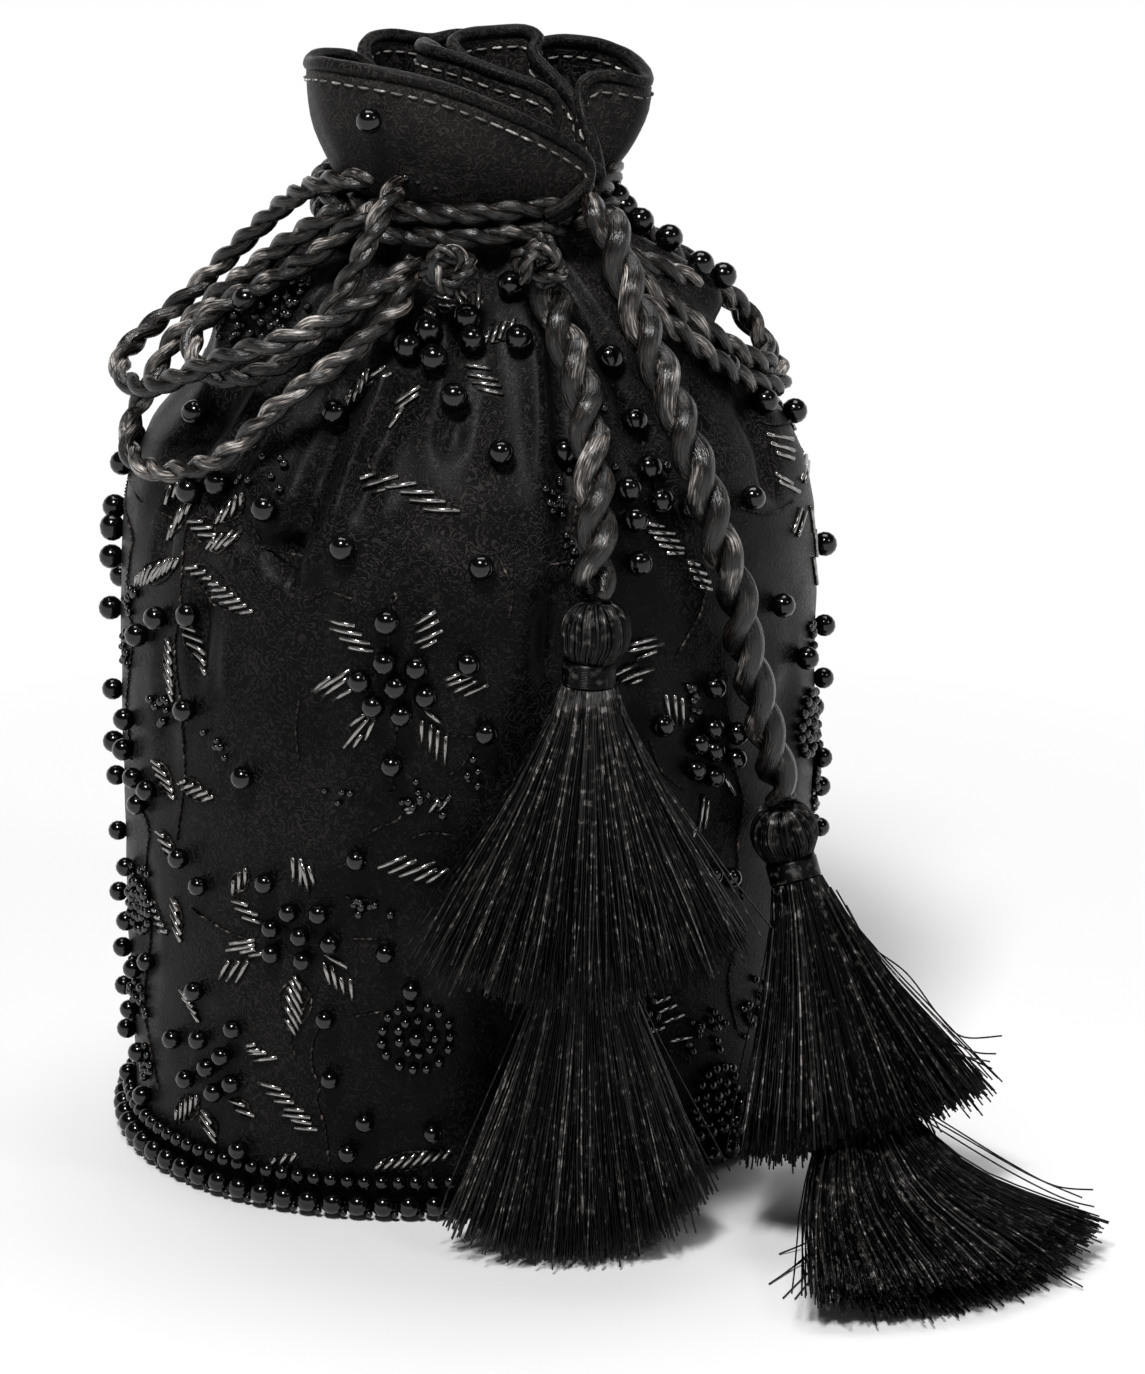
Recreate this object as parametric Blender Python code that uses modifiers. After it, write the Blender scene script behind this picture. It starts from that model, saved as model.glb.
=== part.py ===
"""A drawstring pouch of black satin, drawn shut, with its cords and two-tier tassels.

The bag stands on a turned oval base at z = 0, its mouth is up, and its front is at -Y. The cloth body is one
turned shell whose neck and frill are pushed into gathers. Sizes are in millimetres and are made metres on the
way into Blender.
"""

import math

import bmesh
import bpy
from mathutils import Vector

MM = 0.001
GAP = 0.3

# Body of the bag, as mean radii before the oval is added
BASE_RADIUS = 63.5
BODY_RADIUS = 67.8
WALL_HEIGHT = 134.0
SHOULDER_HEIGHT = 53.0
NECK_RADIUS = 26.0
NECK_HEIGHT = 16.0
FRILL_RADIUS = 35.5
FRILL_HEIGHT = 18.5

# The base is an oval, turned a little from the bag's width, and it fades out up the wall
OVAL_SHARE = 0.11
OVAL_TURN = math.radians(205)
OVAL_FADE = ((0.0, 1.0), (0.45, 0.55), (1.0, 0.27), (1.3, 0.0))

# Cloth, lining and boards
CLOTH = 1.2
LINING = 0.8
LINING_CLEARANCE = 1.3
LINING_TOP_DROP = 13.0
PANEL_THICKNESS = 2.4
PANEL_EDGE = 0.5
BOARD_THICKNESS = 1.8

# Gathers of the neck and frill
NECK_GATHER = 8.0
FRILL_GATHER = 19.0
GATHER_REACH = 36.0
# Each fold as (degrees round the bag, half its width in degrees, share of its depth at the neck, and at the rim)
FOLDS = (
    (325.0, 19.0, 1.0, 0.85), (28.0, 21.0, 0.8, 0.55), (75.0, 22.0, 1.0, 1.0), (122.0, 22.0, 0.8, 0.6),
    (170.0, 20.0, 1.0, 0.95), (208.0, 16.0, 0.6, 0.1), (257.0, 12.0, 0.5, 0.0), (279.0, 12.0, 0.6, 0.12),
)
# How far the rim of the frill hangs below its highest place, as (degrees round the bag, drop)
RIM_DROOP = (
    (0.0, 6.0), (45.0, 4.5), (100.0, 1.5), (150.0, 0.8), (200.0, 0.0), (245.0, 0.0), (270.0, 3.0),
    (290.0, 8.0), (308.0, 14.0), (325.0, 13.0), (345.0, 7.5), (360.0, 6.0),
)

# Bead trim round the base
PEARL = 5.0
PEARL_LIFT = 0.4
SEED = 2.4
SEED_RISE = 0.8
THREAD_SHARE = 0.34

# Cords: the drawcord round the neck and its loops, and the thicker cords that carry the tassels
DRAWCORD = 4.2
TASSEL_CORD = 7.2
# The sizes of cord that the places of the loops and of the tassel cords were read at
DRAWCORD_READ = 4.2
TASSEL_CORD_READ = 7.2
NECK_TURNS = 1.9
NECK_WIND_GAP = 0.4
NECK_CORD_START = math.radians(60)
NECK_CORD_RISE = 1.2
NECK_CORD_CLEARANCE = 0.5

# A tassel, measured along its own axis from the end of its cord
HEAD_RADIUS = 6.3
HEAD_HEIGHT = 12.0
BAND_RADIUS = 5.3
BAND_HEIGHT = 4.8
HOLLOW_SHARE = 0.52
CORE_RADIUS = 1.3
LOWER_TIE_RADIUS = 4.2
LOWER_TIE_HEIGHT = 3.6
LOWER_TIE_SHARE = 0.6
LOWER_NECK_RADIUS = 3.6
TABLE_GAP = 0.9
# How a fringe spreads, as (share of its length, share of its flare)
FRINGE_SPREAD = ((0.0, 0.0), (0.15, 0.09), (0.42, 0.35), (0.72, 0.69), (1.0, 1.0))
# Each tier of a tassel: the places of its spine below the cord's end as (degrees, distance out, share of the end's height),
# the share of the spine that it reaches, its half width and half depth at the foot, how much its sides rise, and
# whether it lies on the table (1) or hangs clear of it (0)
FRONT_UPPER_TIER = {
    "places": ((288.8, 8.7, 0.884), (287.6, 12.2, 0.59), (287, 14.8, 0.41)),
    "reach": 1.0, "width": 31.0, "depth": 13.0, "arc": 7.0,
}
FRONT_LOWER_TIER = {
    "places": ((288.8, 8.7, 0.884), (287.6, 12.2, 0.59), (287, 14.8, 0.41), (286.6, 21.6, 0.018)),
    "reach": 1.0, "width": 25.0, "depth": 11.5, "arc": 3.0, "lies": 0,
}
SIDE_UPPER_TIER = {
    "places": ((327.8, 11.5, 0.786), (324.4, 25, 0.5), (321.9, 39.1, 0.236)),
    "reach": 1.0, "width": 28.0, "depth": 12.5, "arc": 2.0,
}
SIDE_LOWER_TIER = {
    "places": ((327.8, 11.5, 0.786), (324.4, 25, 0.5), (322.3, 36.3, 0.28), (317.6, 55.3, 0.13), (314.6, 78.1, 0.072)),
    "reach": 1.0, "width": 33.0, "depth": 4.6, "arc": 6.0, "lies": 1,
}

# Facets
BODY_STEPS = 48
LINING_STEPS = 40
BASE_STEPS = 48
TASSEL_STEPS = 16
NECK_CORD_STEPS = 42
CURVE_SPAN = 12
CORD_STEP = 1.7
BEND_REACH = 3.0
SPINE_RUN = 8.0

# Points along each cord, as (degrees round the bag, drop below the neck's foot, distance out from the cloth)
LEFT_OUTER_LOOP = (
    (233, -13.6, 2.4), (222, -13.2, 4.8), (203, -9.5, 6.7), (188, -4.5, 9.4), (180, 1.0, 13.3),
    (176, 6.5, 11.6), (174, 12.0, 10.7), (175, 17.0, 11.2), (177, 21.0, 12.9), (181, 24.0, 14.9),
    (185, 26.0, 16.5), (191, 27.5, 16.7), (197, 28.2, 14.9), (205, 26.0, 14.6), (211, 22.5, 15.1),
    (217, 19.0, 15.7), (223, 15.8, 15.9), (230, 13.0, 15.4), (235, 10.5, 14.7), (240, 8.0, 14.3),
    (244, 5.8, 14.2), (248, 3.3, 14.2), (252, 0.8, 12.3), (255, -1.5, 9.7),
)
LEFT_LOWER_LOOP = (
    (227, -8.7, 7.2), (220, -6.0, 9.1), (211, -2.0, 11.2), (202, 3.0, 12.2), (196, 8.0, 9.2),
    (191, 12.5, 8.9), (189, 17.0, 9.0), (188, 22.0, 9.5), (190, 27.5, 9.2), (191, 33.5, 8.1),
    (195, 38.5, 7.4), (201, 41.5, 6.3), (208, 42.0, 4.4), (215, 40.0, 3.5), (222, 36.5, 4.7),
    (227, 32.0, 6.7), (231, 27.0, 8.7), (235, 22.5, 10.2), (239, 18.7, 10.7), (243, 15.5, 10.2),
    (247, 12.0, 9.9), (250, 9.0, 8.9), (253, 6.8, 9.0),
)
LEFT_FRONT_LOOP = (
    (244, -13.7, 0.8), (246, -13.0, 7.8), (245, -9.3, 12.0), (243, -4.5, 14.5), (240, 0.7, 15.9),
    (237, 5.7, 11.6), (234, 10.5, 7.6), (230, 15.2, 5.6), (226, 19.0, 5.6), (221, 21.7, 6.8),
    (214, 23.0, 8.0), (208, 22.5, 9.5), (202, 20.0, 10.9), (198, 16.5, 10.5), (199, 12.7, 8.9),
    (204, 9.0, 7.1), (210, 5.0, 7.9), (218, 1.2, 9.6),
)
RIGHT_UPPER_LOOP = (
    (328, -4.5, 7.0), (331, -1.5, 11.6), (337, 3.5, 12.5), (346, 8.7, 9.6), (354, 13.0, 9.3),
    (359, 16.2, 10.1), (4, 19.5, 10.9), (5, 24.0, 9.3), (1, 28.1, 5.5), (354, 26.7, 3.5),
    (346, 21.7, 3.9), (339, 16.5, 4.7), (332, 11.5, 6.3), (326, 6.5, 9.1), (323, 2.5, 12.6),
)
RIGHT_LOWER_LOOP = (
    (318, 7.7, 9.9), (323, 12.5, 7.5), (330, 18.0, 5.8), (337, 23.5, 4.2), (345, 28.7, 3.4),
    (354, 32.5, 3.8), (1, 34.2, 5.2), (8, 32.2, 7.8), (13, 27.5, 9.8), (15, 22.0, 9.8),
    (14, 16.5, 8.3), (10, 11.0, 6.1), (6, 5.5, 5.6), (4, 0.5, 5.7),
)
FRONT_TASSEL_CORD = (
    (295, 3.8, 7.0), (294, 8.7, 7.1), (294, 14.3, 8.3), (294, 20.3, 9.3), (293, 27.5, 9.7),
    (292, 35.5, 9.4), (291, 43.5, 9.2), (290, 50.0, 8.9), (290, 55.0, 8.4),
)
SIDE_TASSEL_CORD = (
    (314, -13.0, 7.4), (313, -11.3, 12.4), (313, -6.0, 16.4), (312, 0.0, 19.2), (311, 6.5, 15.4),
    (311, 13.0, 12.7), (311, 19.5, 11.8), (311, 25.7, 11.4), (311, 32.0, 10.8), (312, 39.0, 9.2),
    (313, 49.0, 7.3), (316, 61.0, 6.9), (318, 71.5, 6.4), (321, 83.0, 6.6), (324, 95.0, 7.2),
    (327, 104.0, 7.4), (327, 107.5, 7.6),
)

# Shoulder between the wall and the neck, as (share of its height, share of the radius that it loses)
SHOULDER_SHAPE = (
    (0.0, 1.0), (0.11, 0.955), (0.22, 0.89), (0.37, 0.75), (0.54, 0.59), (0.71, 0.415),
    (0.83, 0.268), (0.906, 0.136), (0.951, 0.045), (1.0, 0.0),
)
# Wall below it, as (share of its height, share of the swell from the base to the body)
WALL_SHAPE = ((0.0, 0.0), (0.12, 0.3), (0.3, 0.64), (0.55, 0.9), (0.8, 1.0), (0.94, 0.92), (1.0, 0.65))
# Frill above the neck, as (share of its height, share of its spread)
FRILL_SHAPE = ((0.0, 0.0), (0.08, 0.22), (0.2, 0.58), (0.36, 0.9), (0.58, 1.0), (0.8, 0.93), (0.95, 0.74), (1.0, 0.56))

NECK_FOOT = WALL_HEIGHT + SHOULDER_HEIGHT
NECK_TOP = NECK_FOOT + NECK_HEIGHT
TOTAL_HEIGHT = NECK_TOP + FRILL_HEIGHT


def clear_scene():
    for thing in list(bpy.data.objects):
        bpy.data.objects.remove(thing)


def mix(low, high, share):
    return low + (high - low) * share


def read_shape(pairs, place):
    """The value at a place between (place, value) pairs, held at both ends."""
    if place <= pairs[0][0]:
        return pairs[0][1]
    for (low, first), (high, second) in zip(pairs, pairs[1:]):
        if place <= high:
            return mix(first, second, (place - low) / (high - low))
    return pairs[-1][1]


def ease(place):
    place = min(max(place, 0.0), 1.0)
    return place * place * (3 - 2 * place)


def smooth_curve(points, span=CURVE_SPAN):
    """A smooth curve that passes through every point, with span steps between two of them."""
    points = [Vector(point) for point in points]
    made = []
    for index in range(len(points) - 1):
        before = points[max(index - 1, 0)]
        start, end = points[index], points[index + 1]
        after = points[min(index + 2, len(points) - 1)]
        for step in range(span):
            t = step / span
            made.append(
                0.5
                * (
                    2 * start
                    + (end - before) * t
                    + (2 * before - 5 * start + 4 * end - after) * t * t
                    + (3 * start - before - 3 * end + after) * t**3
                )
            )
    made.append(points[-1])
    return made


def evenly(points, spacing):
    """The points of a line that lie one spacing apart, both ends kept."""
    lengths = [0.0]
    for first, second in zip(points, points[1:]):
        lengths.append(lengths[-1] + (second - first).length)
    count = max(2, round(lengths[-1] / spacing))
    found, index = [], 0
    for step in range(count + 1):
        place = lengths[-1] * step / count
        while index < len(points) - 2 and lengths[index + 1] < place:
            index += 1
        share = (place - lengths[index]) / max(lengths[index + 1] - lengths[index], 1e-9)
        found.append(points[index].lerp(points[index + 1], share))
    return found


def body_profile():
    """(radius, height) of the cloth's outer side, from the base to the frill's rim."""
    foot = PANEL_THICKNESS + GAP
    rows = []
    for share, swell in WALL_SHAPE:
        rows.append((mix(BASE_RADIUS, BODY_RADIUS, swell), mix(foot, WALL_HEIGHT, share)))
    wall_top = rows[-1][0]
    for share, kept in SHOULDER_SHAPE[1:]:
        rows.append((mix(NECK_RADIUS, wall_top, kept), WALL_HEIGHT + SHOULDER_HEIGHT * share))
    rows.append((NECK_RADIUS, NECK_FOOT + NECK_HEIGHT / 2))
    for share, spread in FRILL_SHAPE:
        rows.append((mix(NECK_RADIUS, FRILL_RADIUS, spread), NECK_TOP + FRILL_HEIGHT * share))
    return rows


PROFILE = body_profile()


def mean_radius(height):
    return read_shape([(z, r) for r, z in PROFILE], height)


def oval(height, angle):
    share = OVAL_SHARE * read_shape(OVAL_FADE, height / WALL_HEIGHT)
    return 1 + share * math.cos(2 * (angle - OVAL_TURN))


def body_radius(height, angle):
    return mean_radius(height) * oval(height, angle)


def gather_depth(height):
    """How far the gathers go in: nothing on the wall, more at the neck, most at the frill's rim."""
    if height < NECK_FOOT:
        return NECK_GATHER * ease(1 - (NECK_FOOT - height) / GATHER_REACH)
    return mix(NECK_GATHER, FRILL_GATHER, ease((height - NECK_TOP) / FRILL_HEIGHT))


def gather(height, angle):
    """How far the cloth is folded in at a place. Folds change from the neck's share to the rim's as they rise."""
    rise = ease((height - NECK_TOP) / FRILL_HEIGHT)
    share = 0.0
    for middle, half_width, at_neck, at_rim in FOLDS:
        away = abs((math.degrees(angle) - middle + 180) % 360 - 180) / half_width
        if away < 1:
            share += mix(at_neck, at_rim, rise) * (0.5 + 0.5 * math.cos(math.pi * away))
    return gather_depth(height) * share


def droop(height, angle):
    """How far the cloth hangs below its profile, which grows from nothing at the neck to the rim's droop."""
    rise = max(height - NECK_TOP, 0.0) / FRILL_HEIGHT
    return rise * read_shape(RIM_DROOP, math.degrees(angle) % 360)


def around(angle, radius, height):
    return Vector((radius * math.cos(angle), radius * math.sin(angle), height))


def beside_bag(degrees, height, out):
    angle = math.radians(degrees)
    return around(angle, body_radius(height, angle) + out, height)


def on_bag(places, swell):
    """Points beside the bag, from (degrees, drop below the neck's foot, distance out) places."""
    return [beside_bag(degrees, NECK_FOOT - drop, out * swell) for degrees, drop, out in places]


def collection_named(name):
    found = bpy.data.collections.new(name)
    bpy.context.scene.collection.children.link(found)
    return found


def material(name, colour, roughness, metallic=0.0):
    made = bpy.data.materials.new(name)
    made.use_nodes = True
    shader = made.node_tree.nodes["Principled BSDF"]
    shader.inputs["Base Color"].default_value = (*colour, 1.0)
    shader.inputs["Roughness"].default_value = roughness
    shader.inputs["Metallic"].default_value = metallic
    return made


def add_object(name, data, finish):
    made = bpy.data.objects.new(name, data)
    BAG.objects.link(made)
    data.materials.clear()
    data.materials.append(finish)
    return made


def profile_mesh(name, points, closed=False):
    """A line of edges in the XZ plane, for a Screw to turn."""
    mesh = bpy.data.meshes.new(name)
    edges = [(i, i + 1) for i in range(len(points) - 1)]
    if closed:
        edges.append((len(points) - 1, 0))
    mesh.from_pydata([(r * MM, 0.0, z * MM) for r, z in points], edges, [])
    return mesh


def turned(name, points, finish, steps, closed=False):
    """A profile turned once round Z, as a mesh with its first and last rows joined."""
    guide = add_object(name, profile_mesh(name, points, closed), finish)
    screw = guide.modifiers.new("Turn", "SCREW")
    screw.steps = screw.render_steps = steps
    screw.use_merge_vertices = True
    screw.merge_threshold = 0.00001
    screw.use_smooth_shade = True
    graph = bpy.context.evaluated_depsgraph_get()
    mesh = bpy.data.meshes.new_from_object(guide.evaluated_get(graph))
    bpy.data.objects.remove(guide)
    work = bmesh.new()
    work.from_mesh(mesh)
    bmesh.ops.remove_doubles(work, verts=work.verts, dist=0.00001)
    work.to_mesh(mesh)
    work.free()
    return add_object(name, mesh, finish)


def reshape(thing, change):
    """Moves each point of a turned mesh by a rule of its (angle, radius, height) in millimetres."""
    for vertex in thing.data.vertices:
        x, y, z = (value / MM for value in vertex.co)
        angle, radius = math.atan2(y, x), math.hypot(x, y)
        vertex.co = around(angle, change(angle, radius, z), z - droop(z, angle)) * MM


def solidify(thing, thickness):
    shell = thing.modifiers.new("Cloth", "SOLIDIFY")
    shell.thickness = thickness * MM
    shell.offset = -1.0
    shell.use_even_offset = True
    shell.use_rim = True


def tube(name, points, diameter, finish, radii=None, closed=False, detail=2):
    """A round cord along its points. radii, where given, are shares of the full radius."""
    curve = bpy.data.curves.new(name, "CURVE")
    curve.dimensions = "3D"
    curve.bevel_depth = diameter / 2 * MM
    curve.bevel_resolution = detail
    curve.resolution_u = 1
    curve.render_resolution_u = 0
    curve.use_fill_caps = not closed
    spline = curve.splines.new("POLY")
    spline.points.add(len(points) - 1)
    for index, point in enumerate(points):
        spline.points[index].co = (*(point * MM), 1.0)
        spline.points[index].radius = radii[index] if radii else 1.0
    spline.use_cyclic_u = closed
    spline.use_smooth = True
    return add_object(name, curve, finish)


def cloth_radius(angle, radius, height):
    return radius * oval(height, angle) - gather(height, angle)


def outer_shell():
    """The cloth of the bag: wall, gathered shoulder, neck and frill in one piece, open at both ends."""
    rows = [(r, z) for r, z in reversed(PROFILE)]
    shell = turned("outer_shell", rows, BLACK_CLOTH, BODY_STEPS)
    reshape(shell, cloth_radius)
    solidify(shell, CLOTH)


def inward(rows, distance):
    """A profile moved to its inner side by one distance, measured square to it."""
    moved = []
    for index, (radius, height) in enumerate(rows):
        before, after = rows[max(index - 1, 0)], rows[min(index + 1, len(rows) - 1)]
        run = Vector((after[0] - before[0], after[1] - before[1])).normalized()
        moved.append((radius - run.y * distance, height + run.x * distance))
    return moved


def lining():
    """The inner bag, closed at the bottom and sewn to the cloth below the neck."""
    floor = PANEL_THICKNESS + BOARD_THICKNESS + 2 * GAP + LINING
    top = NECK_FOOT - LINING_TOP_DROP
    rows = inward([row for row in PROFILE if row[1] <= top + 3], CLOTH + LINING_CLEARANCE)
    wall = [row for row in rows if floor + 2 * LINING < row[1] < WALL_HEIGHT]
    wall += [row for row in rows if row[1] >= WALL_HEIGHT][1::2]
    corner = mean_radius(floor) - CLOTH - LINING_CLEARANCE
    rows = [(0.0, floor), (corner * 0.5, floor), (corner - 3.0, floor), (corner - 0.4, floor + 2.0)] + wall
    inner = turned("lining", rows[::-1], LINING_CLOTH, LINING_STEPS)
    reshape(inner, cloth_radius)
    shell = inner.modifiers.new("Cloth", "SOLIDIFY")
    shell.thickness = LINING * MM
    shell.offset = -1.0


def plate(name, inset, bottom, thickness, edge, finish):
    """A flat oval plate inside the outline of the base, with its rim eased top and bottom."""
    radius = BASE_RADIUS - inset
    top = bottom + thickness
    rows = [
        (0.0, top), (radius * 0.6, top), (radius - edge, top), (radius, top - edge),
        (radius, bottom + edge), (radius - edge, bottom), (radius * 0.6, bottom), (0.0, bottom),
    ]
    made = turned(name, rows, finish, BASE_STEPS)
    reshape(made, lambda angle, radius_here, height: radius_here * oval(0.0, angle))


def base_outline(out, height, count):
    """Points round the foot of the bag, the same distance apart and one distance out from the cloth."""
    fine = []
    for step in range(720):
        angle = 2 * math.pi * step / 720
        fine.append(around(angle, body_radius(height, angle) + out, height))
    fine.append(fine[0].copy())
    length = sum((b - a).length for a, b in zip(fine, fine[1:]))
    return evenly(fine, length / count)[:-1]


def pearl_strand():
    """The row of pearls round the base, on their thread."""
    out = PEARL / 2 + GAP
    around_once = 2 * math.pi * (BASE_RADIUS + out)
    pearls = round(around_once / PEARL)
    rings = (THREAD_SHARE, 0.96, 0.96)
    points = base_outline(out, PEARL_LIFT + PEARL / 2, pearls * len(rings))
    radii = [rings[index % len(rings)] for index in range(len(points))]
    tube("base_pearl_strand", points, PEARL, PEARL_BLACK, radii, closed=True, detail=1)


def seed_strand():
    """The row of small beads just above the pearls."""
    height = PEARL_LIFT + PEARL + SEED_RISE + SEED / 2
    points = base_outline(SEED / 2 + 1.5 * GAP, height, BASE_STEPS + BASE_STEPS // 3)
    tube("base_seed_strand", points, SEED, PEARL_BLACK, closed=True, detail=1)


def neck_cord():
    """The drawcord, wound round the gathered neck."""
    radius = NECK_RADIUS + NECK_CORD_CLEARANCE + DRAWCORD / 2
    points = []
    steps = NECK_CORD_STEPS
    for step in range(steps + 1):
        turn = NECK_TURNS * step / steps
        angle = NECK_CORD_START + 2 * math.pi * turn
        points.append(around(angle, radius, NECK_FOOT + NECK_CORD_RISE + (DRAWCORD + NECK_WIND_GAP) * turn))
    tube("neck_cord", points, DRAWCORD, CORD_SATIN)


def free_cord(name, places, diameter, read_at):
    """A cord that lies on the bag, on a smooth curve through its places, which were read at one cord size."""
    points = evenly(smooth_curve(on_bag(places, diameter / read_at)), diameter * CORD_STEP)
    tube(name, points, diameter, CORD_SATIN)
    return points


def on_line(line, distance):
    """The point at a distance along a line, run on straight past its end."""
    walked = 0.0
    for first, second in zip(line, line[1:]):
        step = (second - first).length
        if walked + step >= distance or second is line[-1]:
            return first + (second - first) * ((distance - walked) / step)
        walked += step


def along_line(line, distance):
    """The direction of a line near a distance, averaged so that a bent piece has no kinks."""
    return (on_line(line, distance + BEND_REACH) - on_line(line, max(distance - BEND_REACH, 0.0))).normalized()


def line_length(line):
    return sum((second - first).length for first, second in zip(line, line[1:]))


def hang(thing, spine, across, depth_share=None, lift=None):
    """Bends a piece turned round Z down a spine, where its height below 0 is the distance along the spine.

    depth_share gives how deep it is for its width at a distance, and lift how much shorter it is at its sides.
    """
    for vertex in thing.data.vertices:
        x, y, z = (value / MM for value in vertex.co)
        distance = -z
        deep = depth_share(distance) if depth_share else 1.0
        if lift:
            distance -= lift(distance, x)
        point, direction = on_line(spine, distance), along_line(spine, distance)
        side = (across - direction * across.dot(direction)).normalized()
        depth = -direction.cross(side)
        vertex.co = (point + side * x + depth * (y * deep)) * MM


def tassel_head(name, spine, across):
    """The thread-wound ball under the cord, with a dimple where the cord goes in."""
    half, foot = HEAD_RADIUS, GAP + HEAD_HEIGHT
    rows = [
        (0.0, -GAP - 0.8), (half * 0.3, -GAP - 0.6), (half * 0.6, -GAP - 0.4), (half * 0.9, -2.9), (half, -5.5),
        (half * 0.95, -8.9), (BAND_RADIUS - 0.5, 0.8 - foot), (BAND_RADIUS - 0.9, -foot), (0.0, -foot),
    ]
    hang(turned(name + "_head", rows, THREAD, TASSEL_STEPS), spine, across)


def tassel_band(name, spine, across):
    top = -(HEAD_HEIGHT + 2 * GAP)
    foot = top - BAND_HEIGHT
    eased = 0.5
    inner = CORE_RADIUS + 2 * GAP
    rows = [
        (inner, top), (BAND_RADIUS - eased, top), (BAND_RADIUS, top - eased),
        (BAND_RADIUS, foot + eased), (BAND_RADIUS - eased, foot), (inner, foot),
    ]
    hang(turned(name + "_band", rows, THREAD, TASSEL_STEPS, closed=True), spine, across)


def fringe(name, spine, across, start, end, neck, tier, hollow):
    """A flat fan of threads from one distance along the spine to another. tier holds its half sizes at the foot."""
    length = end - start
    outer = [(mix(neck, tier["width"], spread), -(start + length * share)) for share, spread in FRINGE_SPREAD]
    if hollow:
        core = CORE_RADIUS + GAP
        rows = outer + [(max(radius * HOLLOW_SHARE, core), height) for radius, height in outer[::-1]]
    else:
        rows = [(0.0, -start)] + outer + [(0.0, -end)]
    made = turned(name, rows, THREAD, TASSEL_STEPS, closed=hollow)

    def depth_share(distance):
        share = (distance - start) / length
        return mix(neck, tier["depth"], share) / mix(neck, tier["width"], read_shape(FRINGE_SPREAD, share))

    def lift(distance, x):
        share = (distance - start) / length
        return tier["arc"] * share**3 * (x / tier["width"]) ** 2

    hang(made, spine, across, depth_share, lift)


def spine_from(cord, places, rest):
    """A smooth line that runs on from a cord's end, through (degrees, distance out, share of its height) places.

    rest is the least height of its end, for a fringe that lies on the table.
    """
    end = cord[-1]
    run = (end - cord[-2]).normalized() * SPINE_RUN
    points = [end - run, end, end + run]
    for degrees, out, share in places[:-1]:
        points.append(beside_bag(degrees, end.z * share, out))
    degrees, out, share = places[-1]
    points.append(beside_bag(degrees, max(end.z * share, rest), out))
    return smooth_curve(points)[CURVE_SPAN:]


def tassel(name, cord, across, upper, lower):
    """A two-tier tassel that hangs from a cord's end and reaches the table."""
    upper_spine = spine_from(cord, upper["places"], 0.0)
    lower_spine = spine_from(cord, lower["places"], lower["lies"] * (lower["depth"] + TABLE_GAP))
    tassel_head(name, upper_spine, across)
    tassel_band(name, upper_spine, across)
    top = HEAD_HEIGHT + BAND_HEIGHT + 3 * GAP
    foot = line_length(upper_spine) * upper["reach"]
    fringe(name + "_upper_skirt", upper_spine, across, top, foot, BAND_RADIUS - 0.4, upper, True)
    core_top = HEAD_HEIGHT + 2.5 * GAP
    tie = mix(top, foot, LOWER_TIE_SHARE)
    core = [on_line(lower_spine, mix(core_top, tie, share / 4)) for share in range(5)]
    tube(name + "_core_cord", core, 2 * CORE_RADIUS, CORD_SATIN)
    tie_top, tie_foot = tie + GAP, tie + GAP + LOWER_TIE_HEIGHT
    tie_rows = [
        (0.0, -tie_top), (LOWER_TIE_RADIUS * 0.85, -tie_top), (LOWER_TIE_RADIUS, -tie_top - 0.7),
        (LOWER_TIE_RADIUS, 0.7 - tie_foot), (LOWER_TIE_RADIUS * 0.85, -tie_foot), (0.0, -tie_foot),
    ]
    hang(turned(name + "_lower_tie", tie_rows, THREAD, TASSEL_STEPS), lower_spine, across)
    low_foot = line_length(lower_spine)
    fringe(name + "_lower_skirt", lower_spine, across, tie_foot + GAP, low_foot, LOWER_NECK_RADIUS, lower, False)


def main():
    outer_shell()
    lining()
    plate("base_panel", 0.0, 0.0, PANEL_THICKNESS, PANEL_EDGE, BLACK_CLOTH)
    board_inset = CLOTH + LINING_CLEARANCE
    plate("base_board", board_inset, PANEL_THICKNESS + GAP, BOARD_THICKNESS, 0.2, BOARD)
    pearl_strand()
    seed_strand()
    neck_cord()
    free_cord("left_outer_loop", LEFT_OUTER_LOOP, DRAWCORD, DRAWCORD_READ)
    free_cord("left_lower_loop", LEFT_LOWER_LOOP, DRAWCORD, DRAWCORD_READ)
    free_cord("left_front_loop", LEFT_FRONT_LOOP, DRAWCORD, DRAWCORD_READ)
    free_cord("right_upper_loop", RIGHT_UPPER_LOOP, DRAWCORD, DRAWCORD_READ)
    free_cord("right_lower_loop", RIGHT_LOWER_LOOP, DRAWCORD, DRAWCORD_READ)
    front_line = free_cord("front_tassel_cord", FRONT_TASSEL_CORD, TASSEL_CORD, TASSEL_CORD_READ)
    side_line = free_cord("side_tassel_cord", SIDE_TASSEL_CORD, TASSEL_CORD, TASSEL_CORD_READ)
    tassel("front_tassel", front_line, Vector((1.0, 0.1, 0.0)), FRONT_UPPER_TIER, FRONT_LOWER_TIER)
    tassel("side_tassel", side_line, Vector((0.86, 0.5, 0.0)), SIDE_UPPER_TIER, SIDE_LOWER_TIER)


clear_scene()
BAG = collection_named("drawstring_pouch")
BLACK_CLOTH = material("black_cloth", (0.012, 0.011, 0.012), 0.55)
LINING_CLOTH = material("lining_cloth", (0.02, 0.018, 0.02), 0.45)
BOARD = material("board", (0.32, 0.27, 0.2), 0.85)
PEARL_BLACK = material("pearl_black", (0.01, 0.01, 0.012), 0.18)
CORD_SATIN = material("cord_satin", (0.05, 0.042, 0.038), 0.35)
THREAD = material("thread", (0.02, 0.019, 0.02), 0.4)
main()
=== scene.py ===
"""The looks of a black satin drawstring pouch, with its beadwork, twisted cords and thread tassels."""

import math
import random

import bpy
from mathutils import Matrix, Vector, noise


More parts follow.
